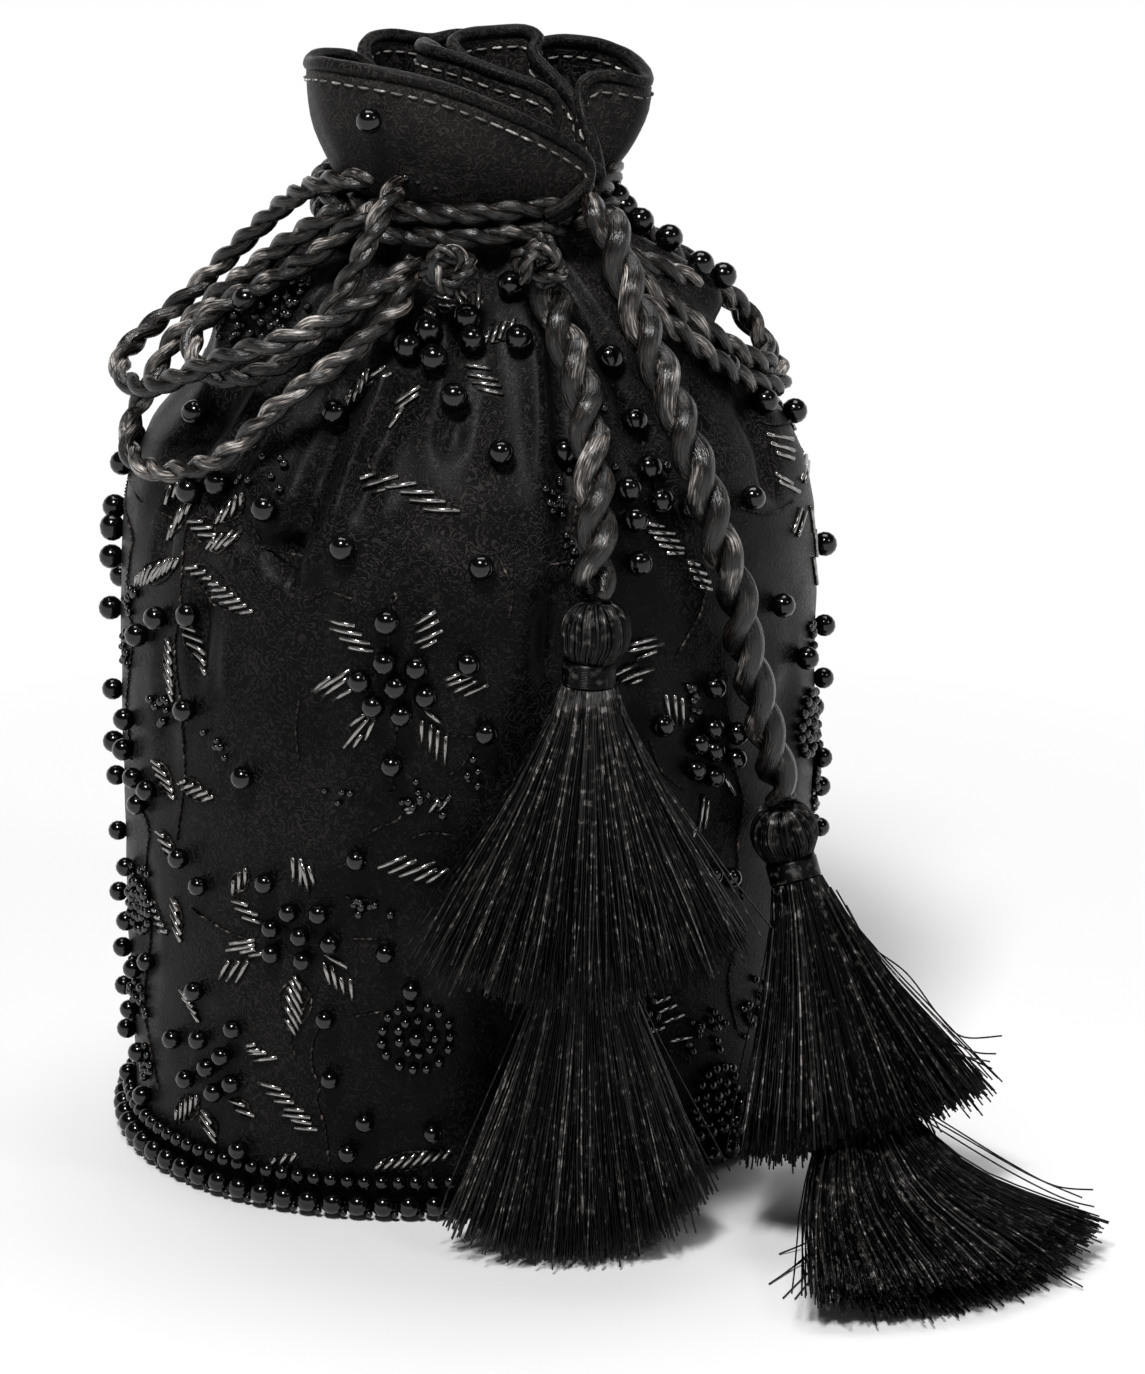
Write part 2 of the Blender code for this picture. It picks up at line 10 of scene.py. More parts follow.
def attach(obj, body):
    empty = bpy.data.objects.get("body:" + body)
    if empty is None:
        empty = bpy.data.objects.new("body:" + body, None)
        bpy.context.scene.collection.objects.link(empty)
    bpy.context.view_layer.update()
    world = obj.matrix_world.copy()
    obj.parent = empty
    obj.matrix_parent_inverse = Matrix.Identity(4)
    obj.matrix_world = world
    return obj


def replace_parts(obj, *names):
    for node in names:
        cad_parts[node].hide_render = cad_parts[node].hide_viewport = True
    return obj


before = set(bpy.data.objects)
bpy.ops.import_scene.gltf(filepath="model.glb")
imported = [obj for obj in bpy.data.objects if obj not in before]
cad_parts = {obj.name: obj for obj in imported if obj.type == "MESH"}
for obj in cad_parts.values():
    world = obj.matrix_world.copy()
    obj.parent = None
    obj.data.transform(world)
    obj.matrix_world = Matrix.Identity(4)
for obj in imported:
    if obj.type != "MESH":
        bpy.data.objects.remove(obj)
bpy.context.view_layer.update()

MM = 0.001
SEED = 7
RANDOM = random.Random(SEED)

# Camera, fitted to the photograph. Pixels are those of the 1145 x 1374 photograph.
ELEVATION = math.radians(20)
CAMERA_DISTANCE = 1200.0
CAMERA_TARGET = Vector((20.7, 0.0, 88.8))
PIXELS_PER_MM = 4.95
PHOTO_CENTRE = (572.5, 687.0)
PHOTO_HEIGHT = 1374
SENSOR = 36.0
FOCAL_PIXELS = PIXELS_PER_MM * CAMERA_DISTANCE
LOOK = Vector((0.0, math.cos(ELEVATION), -math.sin(ELEVATION)))
LIFT = Vector((0.0, math.sin(ELEVATION), math.cos(ELEVATION)))
EYE = CAMERA_TARGET - LOOK * CAMERA_DISTANCE

# Body of the bag: mean radii at heights, and the oval of its base
PROFILE = (
    (2.7, 63.5), (18.5, 64.8), (42.1, 66.2), (74.9, 67.3), (107.7, 67.8), (126.1, 67.4), (134.0, 66.3),
    (139.8, 64.5), (145.7, 61.9), (153.6, 56.2), (162.6, 49.8), (171.6, 42.7), (178.0, 36.8), (182.0, 31.5),
    (184.4, 27.8), (187.0, 26.0), (203.0, 26.0),
)
NECK_FOOT = 187.0
NECK_TOP = 203.0
NECK_RADIUS = 26.0
OVAL_SHARE = 0.11
OVAL_TURN = math.radians(205)
OVAL_FADE = ((0.0, 1.0), (60.3, 0.55), (134.0, 0.27), (174.2, 0.0))

CLOTH = 1.2
PEARL = 5.0
SEED_BEAD = 1.9
BUGLE_WIDTH = 0.85
TINY = 1e-9


def mix(low, high, share):
    return low + (high - low) * share


def read_shape(pairs, place):
    if place <= pairs[0][0]:
        return pairs[0][1]
    for (low, first), (high, second) in zip(pairs, pairs[1:]):
        if place <= high:
            return mix(first, second, (place - low) / (high - low))
    return pairs[-1][1]


def ease(place):
    place = min(max(place, 0.0), 1.0)
    return place * place * (3 - 2 * place)


def smooth_curve(points, span=12):
    points = [Vector(point) for point in points]
    made = []
    for index in range(len(points) - 1):
        before = points[max(index - 1, 0)]
        start, end = points[index], points[index + 1]
        after = points[min(index + 2, len(points) - 1)]
        for step in range(span):
            t = step / span
            made.append(
                0.5
                * (
                    2 * start
                    + (end - before) * t
                    + (2 * before - 5 * start + 4 * end - after) * t * t
                    + (3 * start - before - 3 * end + after) * t**3
                )
            )
    made.append(points[-1])
    return made


def line_length(line):
    return sum((second - first).length for first, second in zip(line, line[1:]))


def evenly(points, spacing):
    lengths = [0.0]
    for first, second in zip(points, points[1:]):
        lengths.append(lengths[-1] + (second - first).length)
    count = max(2, round(lengths[-1] / spacing))
    found, index = [], 0
    for step in range(count + 1):
        place = lengths[-1] * step / count
        while index < len(points) - 2 and lengths[index + 1] < place:
            index += 1
        share = (place - lengths[index]) / max(lengths[index + 1] - lengths[index], TINY)
        found.append(points[index].lerp(points[index + 1], share))
    return found


def mean_radius(height):
    return read_shape(PROFILE, height)


def body_radius(height, angle):
    share = OVAL_SHARE * read_shape(OVAL_FADE, height)
    return mean_radius(height) * (1 + share * math.cos(2 * (angle - OVAL_TURN)))


def around(angle, radius, height):
    return Vector((radius * math.cos(angle), radius * math.sin(angle), height))


def beside_bag(degrees, height, out):
    angle = math.radians(degrees)
    return around(angle, body_radius(height, angle) + out, height)


# Soft creases of the cloth: (degrees round the bag, half width in degrees, lowest height, depth at the neck)
CREASES = (
    (325, 12, 150, 2.5), (28, 17, 140, 6.5), (52, 8, 150, 4.0), (75, 17, 138, 7.0), (98, 8, 146, 4.0),
    (122, 17, 140, 6.5), (147, 9, 132, 5.0), (170, 15, 140, 4.0), (190, 7, 140, 1.5), (208, 11, 122, 4.5),
    (222, 6, 116, 3.6), (236, 7, 130, 3.5), (257, 9, 134, 2.4), (279, 10, 128, 2.4),
    (296, 8, 128, 2.6), (309, 6, 130, 4.0), (342, 6, 150, 1.5), (358, 8, 146, 2.2), (10, 6, 140, 3.5),
)
# Dimples lower down, where the filling gives: (degrees, height, half width in degrees, half height, depth)
DIMPLES = (
    (222, 118, 4.0, 16, 2.6), (229, 112, 3.0, 12, -1.2), (246, 128, 4.0, 14, 1.6), (262, 132, 4.0, 12, 1.8),
    (285, 120, 4.5, 18, 2.2), (300, 108, 5.0, 22, 1.8), (214, 96, 6.0, 22, 1.4), (316, 96, 6.0, 26, 1.5),
    (252, 84, 9.0, 26, -1.2), (236, 60, 8.0, 22, 1.1), (276, 50, 8.0, 22, 1.0), (205, 48, 7.0, 24, 1.2),
    (340, 88, 7.0, 26, 1.4), (15, 100, 8.0, 26, 1.4), (60, 90, 9.0, 26, 1.4), (110, 96, 9.0, 26, 1.4),
    (150, 84, 9.0, 26, 1.4), (180, 96, 7.0, 24, 1.4), (345, 177, 31.0, 20, -11.5), (192, 177, 30.0, 20, -9.0),
    (352, 146, 14.0, 16, -2.0),
)
CREASE_RISE = 42.0


def away_from(angle, degrees):
    return abs((math.degrees(angle) - degrees + 180) % 360 - 180)


def crease_depth(height, angle):
    depth = 0.0
    for degrees, half_width, lowest, deep in CREASES:
        away = away_from(angle, degrees) / half_width
        if away < 1 and height > lowest:
            depth += deep * ease((height - lowest) / CREASE_RISE) * (0.5 + 0.5 * math.cos(math.pi * away))
    for degrees, middle, half_width, half_height, deep in DIMPLES:
        away = math.hypot(away_from(angle, degrees) / half_width, (height - middle) / half_height)
        if away < 1:
            depth += deep * (0.5 + 0.5 * math.cos(math.pi * away))
    return depth


# Depth of the cloth's slight ripple and of a finer one over it, and how fast each repeats
RIPPLE = 0.4
FINE_RIPPLE = 0.25
RIPPLE_PACE = 1.3
FINE_RIPPLE_PACE = 4.1
RIPPLE_ROUND = 1.6
RIPPLE_HEIGHT = 26.0

# Folds that the photograph shows, by pixel: (depth, half width in mm, pixels along it)
FOLDS_BY_PIXEL = (
    (5.2, 6.5, ((352, 395), (325, 462), (305, 520), (284, 556))),
    (-1.8, 6.0, ((368, 400), (343, 468), (322, 526), (304, 560))),
    (2.6, 5.0, ((236, 520), (252, 545), (282, 560))),
    (2.0, 3.0, ((284, 556), (287, 584))),
    (4.2, 6.5, ((556, 300), (562, 390), (566, 470), (572, 540))),
    (-1.4, 5.0, ((538, 310), (543, 400), (546, 470))),
    (2.6, 5.5, ((700, 300), (728, 350), (752, 420), (770, 480))),
    (2.4, 5.0, ((640, 300), (662, 350), (684, 410), (698, 470))),
    (2.4, 5.0, ((400, 400), (372, 455), (362, 500))),
    (2.2, 5.0, ((470, 300), (466, 380), (452, 440))),
    (1.8, 5.0, ((210, 440), (176, 500), (160, 560))),
    (1.6, 7.0, ((420, 520), (470, 545), (520, 548))),
    (1.3, 9.0, ((300, 600), (318, 700), (312, 790))),
    (1.2, 9.0, ((560, 600), (540, 720), (556, 820))),
)
FOLDS_ON_CLOTH = []
FAR_ROUND = 60


def fold_depth(height, angle):
    """How far the folds of the photograph press the cloth in at a place."""
    depth = 0.0
    radius = mean_radius(height)
    for deep, half_width, places in FOLDS_ON_CLOTH:
        nearest = half_width
        spots = []
        for up, there in places:
            aside = (there - angle + math.pi) % (2 * math.pi) - math.pi
            spots.append((aside * radius, up - height))
        for (x, y), (next_x, next_y) in zip(spots, spots[1:]):
            if min(abs(x), abs(next_x)) > FAR_ROUND:
                continue
            run_x, run_y = next_x - x, next_y - y
            share = min(max(-(x * run_x + y * run_y) / (run_x * run_x + run_y * run_y + TINY), 0.0), 1.0)
            nearest = min(nearest, math.hypot(x + run_x * share, y + run_y * share))
        depth += deep * (0.5 + 0.5 * math.cos(math.pi * nearest / half_width))
    return depth


def skin_radius(height, angle):
    """Radius of the visible cloth: the body less its creases, with a slight ripple."""
    here = around(angle, RIPPLE_ROUND, height / RIPPLE_HEIGHT)
    ripple = RIPPLE * noise.noise(here * RIPPLE_PACE) + FINE_RIPPLE * noise.noise(here * FINE_RIPPLE_PACE)
    fade = ease(height / 14.0) * (1 - 0.7 * ease((height - 165) / 20))
    radius = body_radius(height, angle) - crease_depth(height, angle) - fold_depth(height, angle)
    return radius + ripple * fade


# How the place of a pixel is looked for along its ray, in mm, and the heights of cloth that it keeps to
SEARCH_BEFORE = 100
SEARCH_RUN = 190
SEARCH_STEPS = (0.4, 5.0)
CLOTH_LOW = 3.0
CLOTH_HIGH = 202.0


def pixel_ray(x, y):
    across = (x - PHOTO_CENTRE[0]) / FOCAL_PIXELS
    up = (PHOTO_CENTRE[1] - y) / FOCAL_PIXELS
    return LOOK + Vector((across, 0, 0)) + LIFT * up


def at_depth(x, y, depth):
    """The point in the plane Y = depth that a pixel of the photograph shows."""
    ray = pixel_ray(x, y)
    return EYE + ray * ((depth - EYE.y) / ray.y)


def on_cloth(x, y):
    """(height, angle) of the cloth that a pixel shows, or of the nearest cloth where it just misses."""
    ray = pixel_ray(x, y)
    nearest, best = 1e9, None
    start = CAMERA_DISTANCE - SEARCH_BEFORE
    step = 0.0
    while step < SEARCH_RUN:
        point = EYE + ray * (start + step)
        angle, flat = math.atan2(point.y, point.x), math.hypot(point.x, point.y)
        height = min(max(point.z, CLOTH_LOW), CLOTH_HIGH)
        gap = flat - skin_radius(height, angle)
        if gap < nearest:
            nearest, best = gap, (height, angle)
        if gap < 0:
            return best
        step += max(SEARCH_STEPS[0], min(gap * 0.6, SEARCH_STEPS[1]))
    return best


def cloth_point(height, angle, out=0.0):
    """A point on the cloth, moved out square to it, and the outward direction there."""
    step_up, step_round = 1.2, math.radians(1.0)
    here = around(angle, skin_radius(height, angle), height)
    up = around(angle, skin_radius(height + step_up, angle), height + step_up) - here
    side = around(angle + step_round, skin_radius(height, angle + step_round), height) - here
    outward = side.cross(up).normalized()
    return here + outward * out, outward


# The folds are looked for on the cloth as it lies without them, and then laid in all at once
FOUND_FOLDS = [
    (deep, half_width, [on_cloth(*pixel) for pixel in pixels]) for deep, half_width, pixels in FOLDS_BY_PIXEL
]
FOLDS_ON_CLOTH.extend(FOUND_FOLDS)


# Mesh building


class Build:
    """Collects points, faces and their map coordinates for one piece."""

    def __init__(self):
        self.points, self.faces, self.maps, self.shades = [], [], [], []

    def add(self, points, faces, maps=None, shade=0.0):
        base = len(self.points)
        self.points += points
        self.faces += [tuple(base + i for i in face) for face in faces]
        self.maps += maps or [(0.0, 0.0)] * len(points)
        self.shades += [shade] * len(points)

    def piece(self, name, finish, slot, wrap=0.0):
        """Makes the object. wrap is how far round the map runs before it starts again."""
        mesh = bpy.data.meshes.new(name)
        mesh.from_pydata([point * MM for point in self.points], [], self.faces)
        layer = mesh.uv_layers.new(name="run")
        loops = [0] * len(mesh.loops)
        mesh.loops.foreach_get("vertex_index", loops)
        flat = [value for index in loops for value in self.maps[index]]
        if wrap:
            for face in mesh.polygons:
                start, size = face.loop_start, face.loop_total
                across = [flat[2 * loop] for loop in range(start, start + size)]
                if max(across) - min(across) > wrap / 2:
                    for loop in range(start, start + size):
                        if flat[2 * loop] < wrap / 2:
                            flat[2 * loop] += wrap
        layer.data.foreach_set("uv", flat)
        shade = mesh.attributes.new("shade", "FLOAT", "POINT")
        shade.data.foreach_set("value", self.shades)
        mesh.polygons.foreach_set("use_smooth", [True] * len(mesh.polygons))
        mesh.update()
        made = bpy.data.objects.new(name, mesh)
        bpy.context.scene.collection.objects.link(made)
        mesh.materials.append(finish)
        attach(made, "root")
        return made


def grid_faces(rows, columns, closed, flipped=False):
    faces = []
    for row in range(rows - 1):
        low, high = row * columns, (row + 1) * columns
        for column in range(columns if closed else columns - 1):
            after = (column + 1) % columns
            face = (low + column, low + after, high + after, high + column)
            faces.append((face[0], face[3], face[2], face[1]) if flipped else face)
    return faces


def shell_faces(rows, columns, flipped=False):
    """Faces of rings of points, with a face over each end."""
    first = tuple(range(columns))
    last = tuple((rows - 1) * columns + column for column in range(columns))
    ends = [first, last[::-1]] if flipped else [first[::-1], last]
    return grid_faces(rows, columns, True, flipped) + ends


def ring_turns(count):
    return [2 * math.pi * step / count for step in range(count)]


def steady_frames(line):
    """(across, up) directions square to a line, carried along it without twist."""
    frames = []
    up = None
    for index, point in enumerate(line):
        ahead = line[min(index + 1, len(line) - 1)] - line[max(index - 1, 0)]
        ahead.normalize()
        if up is None:
            up = Vector((0, 0, 1)) if abs(ahead.z) < 0.9 else Vector((1, 0, 0))
        up = (up - ahead * up.dot(ahead)).normalized()
        frames.append((ahead.cross(up).normalized(), up.copy()))
    return frames


def add_tube(build, line, radii, sides=8, shade=0.0):
    """A round tube along a line. radii is one radius, or a list with one for each place."""
    points, maps, walked = [], [], 0.0
    for index, (point, (across, up)) in enumerate(zip(line, steady_frames(line))):
        if index:
            walked += (point - line[index - 1]).length
        radius = radii[index] if isinstance(radii, list) else radii
        for turn in ring_turns(sides):
            points.append(point + (across * math.cos(turn) + up * math.sin(turn)) * radius)
            maps.append((turn * radius, walked))
    build.add(points, shell_faces(len(line), sides), maps, shade)


def add_ball(build, centre, radius, segments=14, rings=9, shade=0.0, pole=None):
    """A bead, whose rings run round its pole."""
    pole = (pole or Vector((0, 0, 1))).normalized()
    across = pole.orthogonal().normalized()
    other = pole.cross(across)
    points = [centre + pole * radius]
    for ring in range(1, rings):
        tilt = math.pi * ring / rings
        for turn in ring_turns(segments):
            spread = across * math.cos(turn) + other * math.sin(turn)
            points.append(centre + pole * (radius * math.cos(tilt)) + spread * (radius * math.sin(tilt)))
    points.append(centre - pole * radius)
    last, low = len(points) - 1, 1 + (rings - 2) * segments
    faces = [(0, 1 + s, 1 + (s + 1) % segments) for s in range(segments)]
    faces += [tuple(1 + corner for corner in face) for face in grid_faces(rings - 1, segments, True, True)]
    faces += [(low + s, last, low + (s + 1) % segments) for s in range(segments)]
    build.add(points, faces, None, shade)


# Materials


def new_finish(name):
    finish = bpy.data.materials.new(name)
    finish.use_nodes = True
    tree = finish.node_tree
    return finish, tree, tree.nodes["Principled BSDF"]


def node(tree, kind, inputs=None, links=None, **settings):
    """A shader node with its settings, the values of its inputs and the sockets linked to them."""
    made = tree.nodes.new(kind)
    for key, value in settings.items():
        setattr(made, key, value)
    for key, value in (inputs or {}).items():
        made.inputs[key].default_value = value
    for key, source in (links or {}).items():
        tree.links.new(source, made.inputs[key])
    return made


def object_place(tree):
    return node(tree, "ShaderNodeTexCoord").outputs["Object"]


def grain(tree, place, scale, detail=2.0, **more):
    """Noise at a place. more can set its Roughness and Distortion."""
    made = node(tree, "ShaderNodeTexNoise", {"Scale": scale, "Detail": detail, **more}, {"Vector": place})
    return made.outputs["Fac"]


def ranged(tree, value, low=0.0, high=1.0, to_low=0.0, to_high=1.0):
    """A value moved from one range to another, and held within it."""
    inputs = {"From Min": low, "From Max": high, "To Min": to_low, "To Max": to_high}
    return node(tree, "ShaderNodeMapRange", inputs, {"Value": value}).outputs["Result"]


def maths(tree, operation, *values):
    """Arithmetic on plain numbers and sockets."""
    made = node(tree, "ShaderNodeMath", operation=operation)
    for socket, value in zip(made.inputs, values):
        if isinstance(value, float):
            socket.default_value = value
        else:
            tree.links.new(value, socket)
    return made.outputs[0]


def bump(tree, height, strength, distance, under=None):
    links = {"Height": height}
    if under:
        links["Normal"] = under
    return node(tree, "ShaderNodeBump", {"Strength": strength, "Distance": distance}, links).outputs["Normal"]


def ramp(tree, source, stops):
    made = tree.nodes.new("ShaderNodeValToRGB")
    while len(made.color_ramp.elements) < len(stops):
        made.color_ramp.elements.new(0.5)
    for element, (place, colour) in zip(made.color_ramp.elements, stops):
        element.position = place
        element.color = (*colour, 1.0)
    tree.links.new(source, made.inputs["Fac"])
    return made.outputs["Color"]


def set_shader(tree, shader, links, constants):
    for key, source in links.items():
        tree.links.new(source, shader.inputs[key])
    for key, value in constants.items():
        shader.inputs[key].default_value = value


def cloth_finish(name, dark, light, line, roughness):
    """Black satin with a fine curled grain, a little worn and dusty in random patches."""
    finish, tree, shader = new_finish(name)
    place = object_place(tree)
    wander = grain(tree, place, 520.0, 1.0, Roughness=0.5, Distortion=0.6)
    curled = ranged(tree, maths(tree, "SINE", maths(tree, "MULTIPLY", wander, 34.0)), 0.25, 1.0)
    weave = grain(tree, place, 2600.0)
    cloud = grain(tree, place, 30.0, 4.0, Roughness=0.65)
    worn = ranged(tree, cloud, 0.35, 0.65, 0.25, 0.8)
    tones = {
        "Factor": maths(tree, "MULTIPLY", curled, worn),
        "A": ramp(tree, cloud, ((0.35, dark), (0.7, light))),
    }
    lines = node(tree, "ShaderNodeMix", {"B": (*line, 1.0)}, tones, data_type="RGBA")
    links = {
        "Base Color": lines.outputs["Result"],
        "Roughness": ranged(tree, curled, to_low=roughness, to_high=roughness + 0.12),
        "Normal": bump(tree, curled, 0.45, 0.0002, bump(tree, weave, 0.3, 0.00012)),
    }
    constants = {"Specular IOR Level": 0.065, "Sheen Weight": 0.004, "Sheen Roughness": 0.4}
    set_shader(tree, shader, links, constants)
    return finish


def bead_finish(name, colour, roughness, bend, metal=0.0):
    """Polished black bead. bend is the index of refraction, and metal the share that reflects as hematite."""
    finish, tree, shader = new_finish(name)
    spots = grain(tree, object_place(tree), 420.0)
    lighter = tuple(part * 1.8 for part in colour)
    links = {
        "Base Color": ramp(tree, spots, ((0.35, colour), (0.8, lighter))),
        "Roughness": ranged(tree, spots, to_low=roughness, to_high=roughness + 0.06),
    }
    set_shader(tree, shader, links, {"IOR": bend, "Metallic": metal})
    return finish


FIBRES_ASLANT = {"Scale": (2.6, 0.28, 1.0), "Rotation": (0.0, 0.0, 0.62)}
DARK_FIBRES = ((0.38, (0.001, 0.0009, 0.0009)), (0.55, (0.006, 0.0047, 0.004)), (0.7, (0.078, 0.062, 0.052)))
# Pale silvery-taupe fibres: painted highlight, laid on in lengths along the plies
PAINTED_HIGHLIGHT_FIBRES = ((0.36, (0.01, 0.0085, 0.0075)), (0.5, (0.16, 0.138, 0.125)), (0.64, (0.85, 0.79, 0.74)))


def cord_finish(name):
    """Twisted satin: black fibres laid aslant, with pale silvery-taupe lengths along each ply that are painted
    highlight.
    """
    finish, tree, shader = new_finish(name)
    run = node(tree, "ShaderNodeUVMap", uv_map="run").outputs["UV"]
    fibres_at = node(tree, "ShaderNodeMapping", FIBRES_ASLANT, {"Vector": run}).outputs["Vector"]
    fibres = grain(tree, fibres_at, 1.0, 2.5, Roughness=0.6)
    shade = node(tree, "ShaderNodeAttribute", attribute_name="shade").outputs["Fac"]
    parts = node(tree, "ShaderNodeSeparateXYZ", None, {"Vector": run})
    slowed = {
        "X": maths(tree, "MULTIPLY", parts.outputs["X"], 0.12),
        "Y": maths(tree, "MULTIPLY", parts.outputs["Y"], 0.085),
        "Z": maths(tree, "MULTIPLY", shade, 90.0),
    }
    where = node(tree, "ShaderNodeCombineXYZ", None, slowed).outputs["Vector"]
    stretches = grain(tree, where, 1.0, 3.0, Roughness=0.65)
    tones = {
        "Factor": ranged(tree, maths(tree, "ADD", stretches, shade), 0.55, 0.66),
        "A": ramp(tree, fibres, DARK_FIBRES),
        "B": ramp(tree, fibres, PAINTED_HIGHLIGHT_FIBRES),
    }
    both = node(tree, "ShaderNodeMix", None, tones, data_type="RGBA").outputs["Result"]
    links = {"Base Color": both, "Normal": bump(tree, fibres, 1.0, 0.0003)}
    set_shader(tree, shader, links, {"Roughness": 0.26, "Specular IOR Level": 0.5})
    return finish


def thread_finish(name, dark, light, roughness):
    """Silky thread, each one a little lighter or darker than the next, with small specks of painted highlight
    along it.
    """
    finish, tree, shader = new_finish(name)
    shade = node(tree, "ShaderNodeAttribute", attribute_name="shade").outputs["Fac"]
    place = object_place(tree)
    # Painted highlight: where the fine noise runs high, specks of the thread are painted lighter.
    painted_glint = ranged(tree, grain(tree, place, 700.0, 1.0), 0.5, 0.75, -0.12, 0.45)
    middle = tuple(mix(low, high, 0.22) for low, high in zip(dark, light))
    links = {
        "Base Color": ramp(tree, maths(tree, "ADD", shade, painted_glint), ((0.3, dark), (0.8, middle), (1.0, light))),
        "Normal": bump(tree, grain(tree, place, 1500.0, 1.0), 0.3, 0.0001),
    }
    set_shader(tree, shader, links, {"Roughness": roughness, "Specular IOR Level": 0.12})
    return finish


def board_finish(name):
    finish, tree, shader = new_finish(name)
    pulp = grain(tree, object_place(tree), 300.0, 4.0)
    tone = ramp(tree, pulp, ((0.3, (0.25, 0.2, 0.15)), (0.8, (0.4, 0.34, 0.26))))
    set_shader(tree, shader, {"Base Color": tone}, {"Roughness": 0.85})
    return finish


CLOTH_BLACK = cloth_finish(
    "satin_black", (0.0012, 0.0012, 0.0012), (0.0085, 0.0078, 0.0076), (0.042, 0.0382, 0.0366), 0.38
)
# The frill's satin is the bag's own cloth painted lighter, as painted sheen.
FRILL_PAINTED_SHEEN = cloth_finish(
    "satin_frill_painted_sheen", (0.003, 0.003, 0.003), (0.03, 0.0275, 0.0265), (0.085, 0.077, 0.074), 0.4
)
HEM_BLACK = cloth_finish(
    "satin_hem", (0.002, 0.002, 0.002), (0.012, 0.011, 0.0106), (0.045, 0.041, 0.039), 0.34
)
LINING_BLACK = cloth_finish(
    "lining_satin", (0.002, 0.002, 0.002), (0.007, 0.0066, 0.007), (0.018, 0.017, 0.018), 0.42
)
PEARL_BLACK = bead_finish("bead_pearl", (0.001, 0.001, 0.0011), 0.1, 1.5)
SEED_BLACK = bead_finish("bead_seed", (0.001, 0.001, 0.001), 0.1, 1.6)
BUGLE_GREY = bead_finish("bead_bugle", (0.24, 0.232, 0.224), 0.17, 1.6, 0.9)
CORD_SATIN = cord_finish("cord_twist")
THREAD_BLACK = thread_finish("thread_silk", (0.0008, 0.0008, 0.0008), (0.34, 0.32, 0.305), 0.3)
STITCH_GREY = thread_finish("thread_stitch", (0.16, 0.152, 0.144), (0.78, 0.75, 0.71), 0.45)
STEM_BLACK = thread_finish("thread_stem", (0.007, 0.0055, 0.0055), (0.18, 0.155, 0.14), 0.42)
BOARD = board_finish("board_pulp")


def dress(name, finish):
    """Gives a CAD solid that stays in view its finish."""
    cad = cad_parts[name]
    cad.data.materials.clear()
    cad.data.materials.append(finish)


# Camera, light and floor


def add_camera():
    lens = bpy.data.cameras.new("view")
    lens.sensor_fit = "VERTICAL"
    lens.sensor_height = SENSOR
    lens.lens = FOCAL_PIXELS * SENSOR / PHOTO_HEIGHT
    lens.clip_start = 0.05
    lens.clip_end = 30
    made = bpy.data.objects.new("view", lens)
    made.location = EYE * MM
    made.rotation_euler = (math.pi / 2 - ELEVATION, 0.0, 0.0)
    bpy.context.scene.collection.objects.link(made)
    bpy.context.scene.camera = made


# Lamps: name, place and aim in metres, size, watts
LAMPS = (
    ("key", (-0.2, -0.6, 1.25), (0.0, 0.0, 0.1), (0.26, 0.26), 14.5),
    ("fill", (0.8, -0.5, 0.95), (0.0, 0.0, 0.1), (0.2, 0.2), 1.4),
    ("top", (0.0, 0.35, 1.2), (0.0, 0.0, 0.15), (0.8, 0.5), 6.5),
)
# The white floor and backdrop as they are shown, and how bright they are to rays of diffuse light
FLOOR_SHOWN = 0.93
FLOOR_THROWN = 0.18
FLOOR_HALF = 3.0
# Metres from the bag's middle between which the floor passes from shaded paper to plain white
FLOOR_WHITENS = (0.14, 0.28)
WHITE = (1.0, 1.0, 1.0, 1.0)


def add_lamp(name, place, aim, size, watts):
    light = bpy.data.lights.new(name, "AREA")
    light.shape = "RECTANGLE"
    light.size, light.size_y = size
    light.energy = watts
    made = bpy.data.objects.new(name, light)
    made.location = place
    made.rotation_euler = (Vector(aim) - Vector(place)).to_track_quat("-Z", "Y").to_euler()
    bpy.context.scene.collection.objects.link(made)


def shown_rays(tree):
    """1 for the rays that show the background: the camera's, and those of gloss and glass."""
    rays = node(tree, "ShaderNodeLightPath").outputs
    direct = maths(tree, "MAXIMUM", rays["Is Camera Ray"], rays["Is Transmission Ray"])
    return maths(tree, "MAXIMUM", direct, rays["Is Glossy Ray"])


def add_world():
    """A white backdrop all round that camera and gloss both show, under a dim ceiling."""
    world = bpy.data.worlds.new("studio")
    bpy.context.scene.world = world
    world.use_nodes = True
    tree = world.node_tree
    back = tree.nodes["Background"]
    direction = node(tree, "ShaderNodeTexCoord").outputs["Generated"]
    up = node(tree, "ShaderNodeSeparateXYZ", None, {"Vector": direction}).outputs["Z"]
    levels = {
        "Value": shown_rays(tree),
        "To Min": ranged(tree, up, 0.0, 0.35, 0.28, 0.05),
        "To Max": ranged(tree, up, 0.17, 0.4, 1.0, 0.05),
    }
    strength = node(tree, "ShaderNodeMapRange", None, levels)
    back.inputs["Color"].default_value = WHITE
    tree.links.new(strength.outputs["Result"], back.inputs["Strength"])


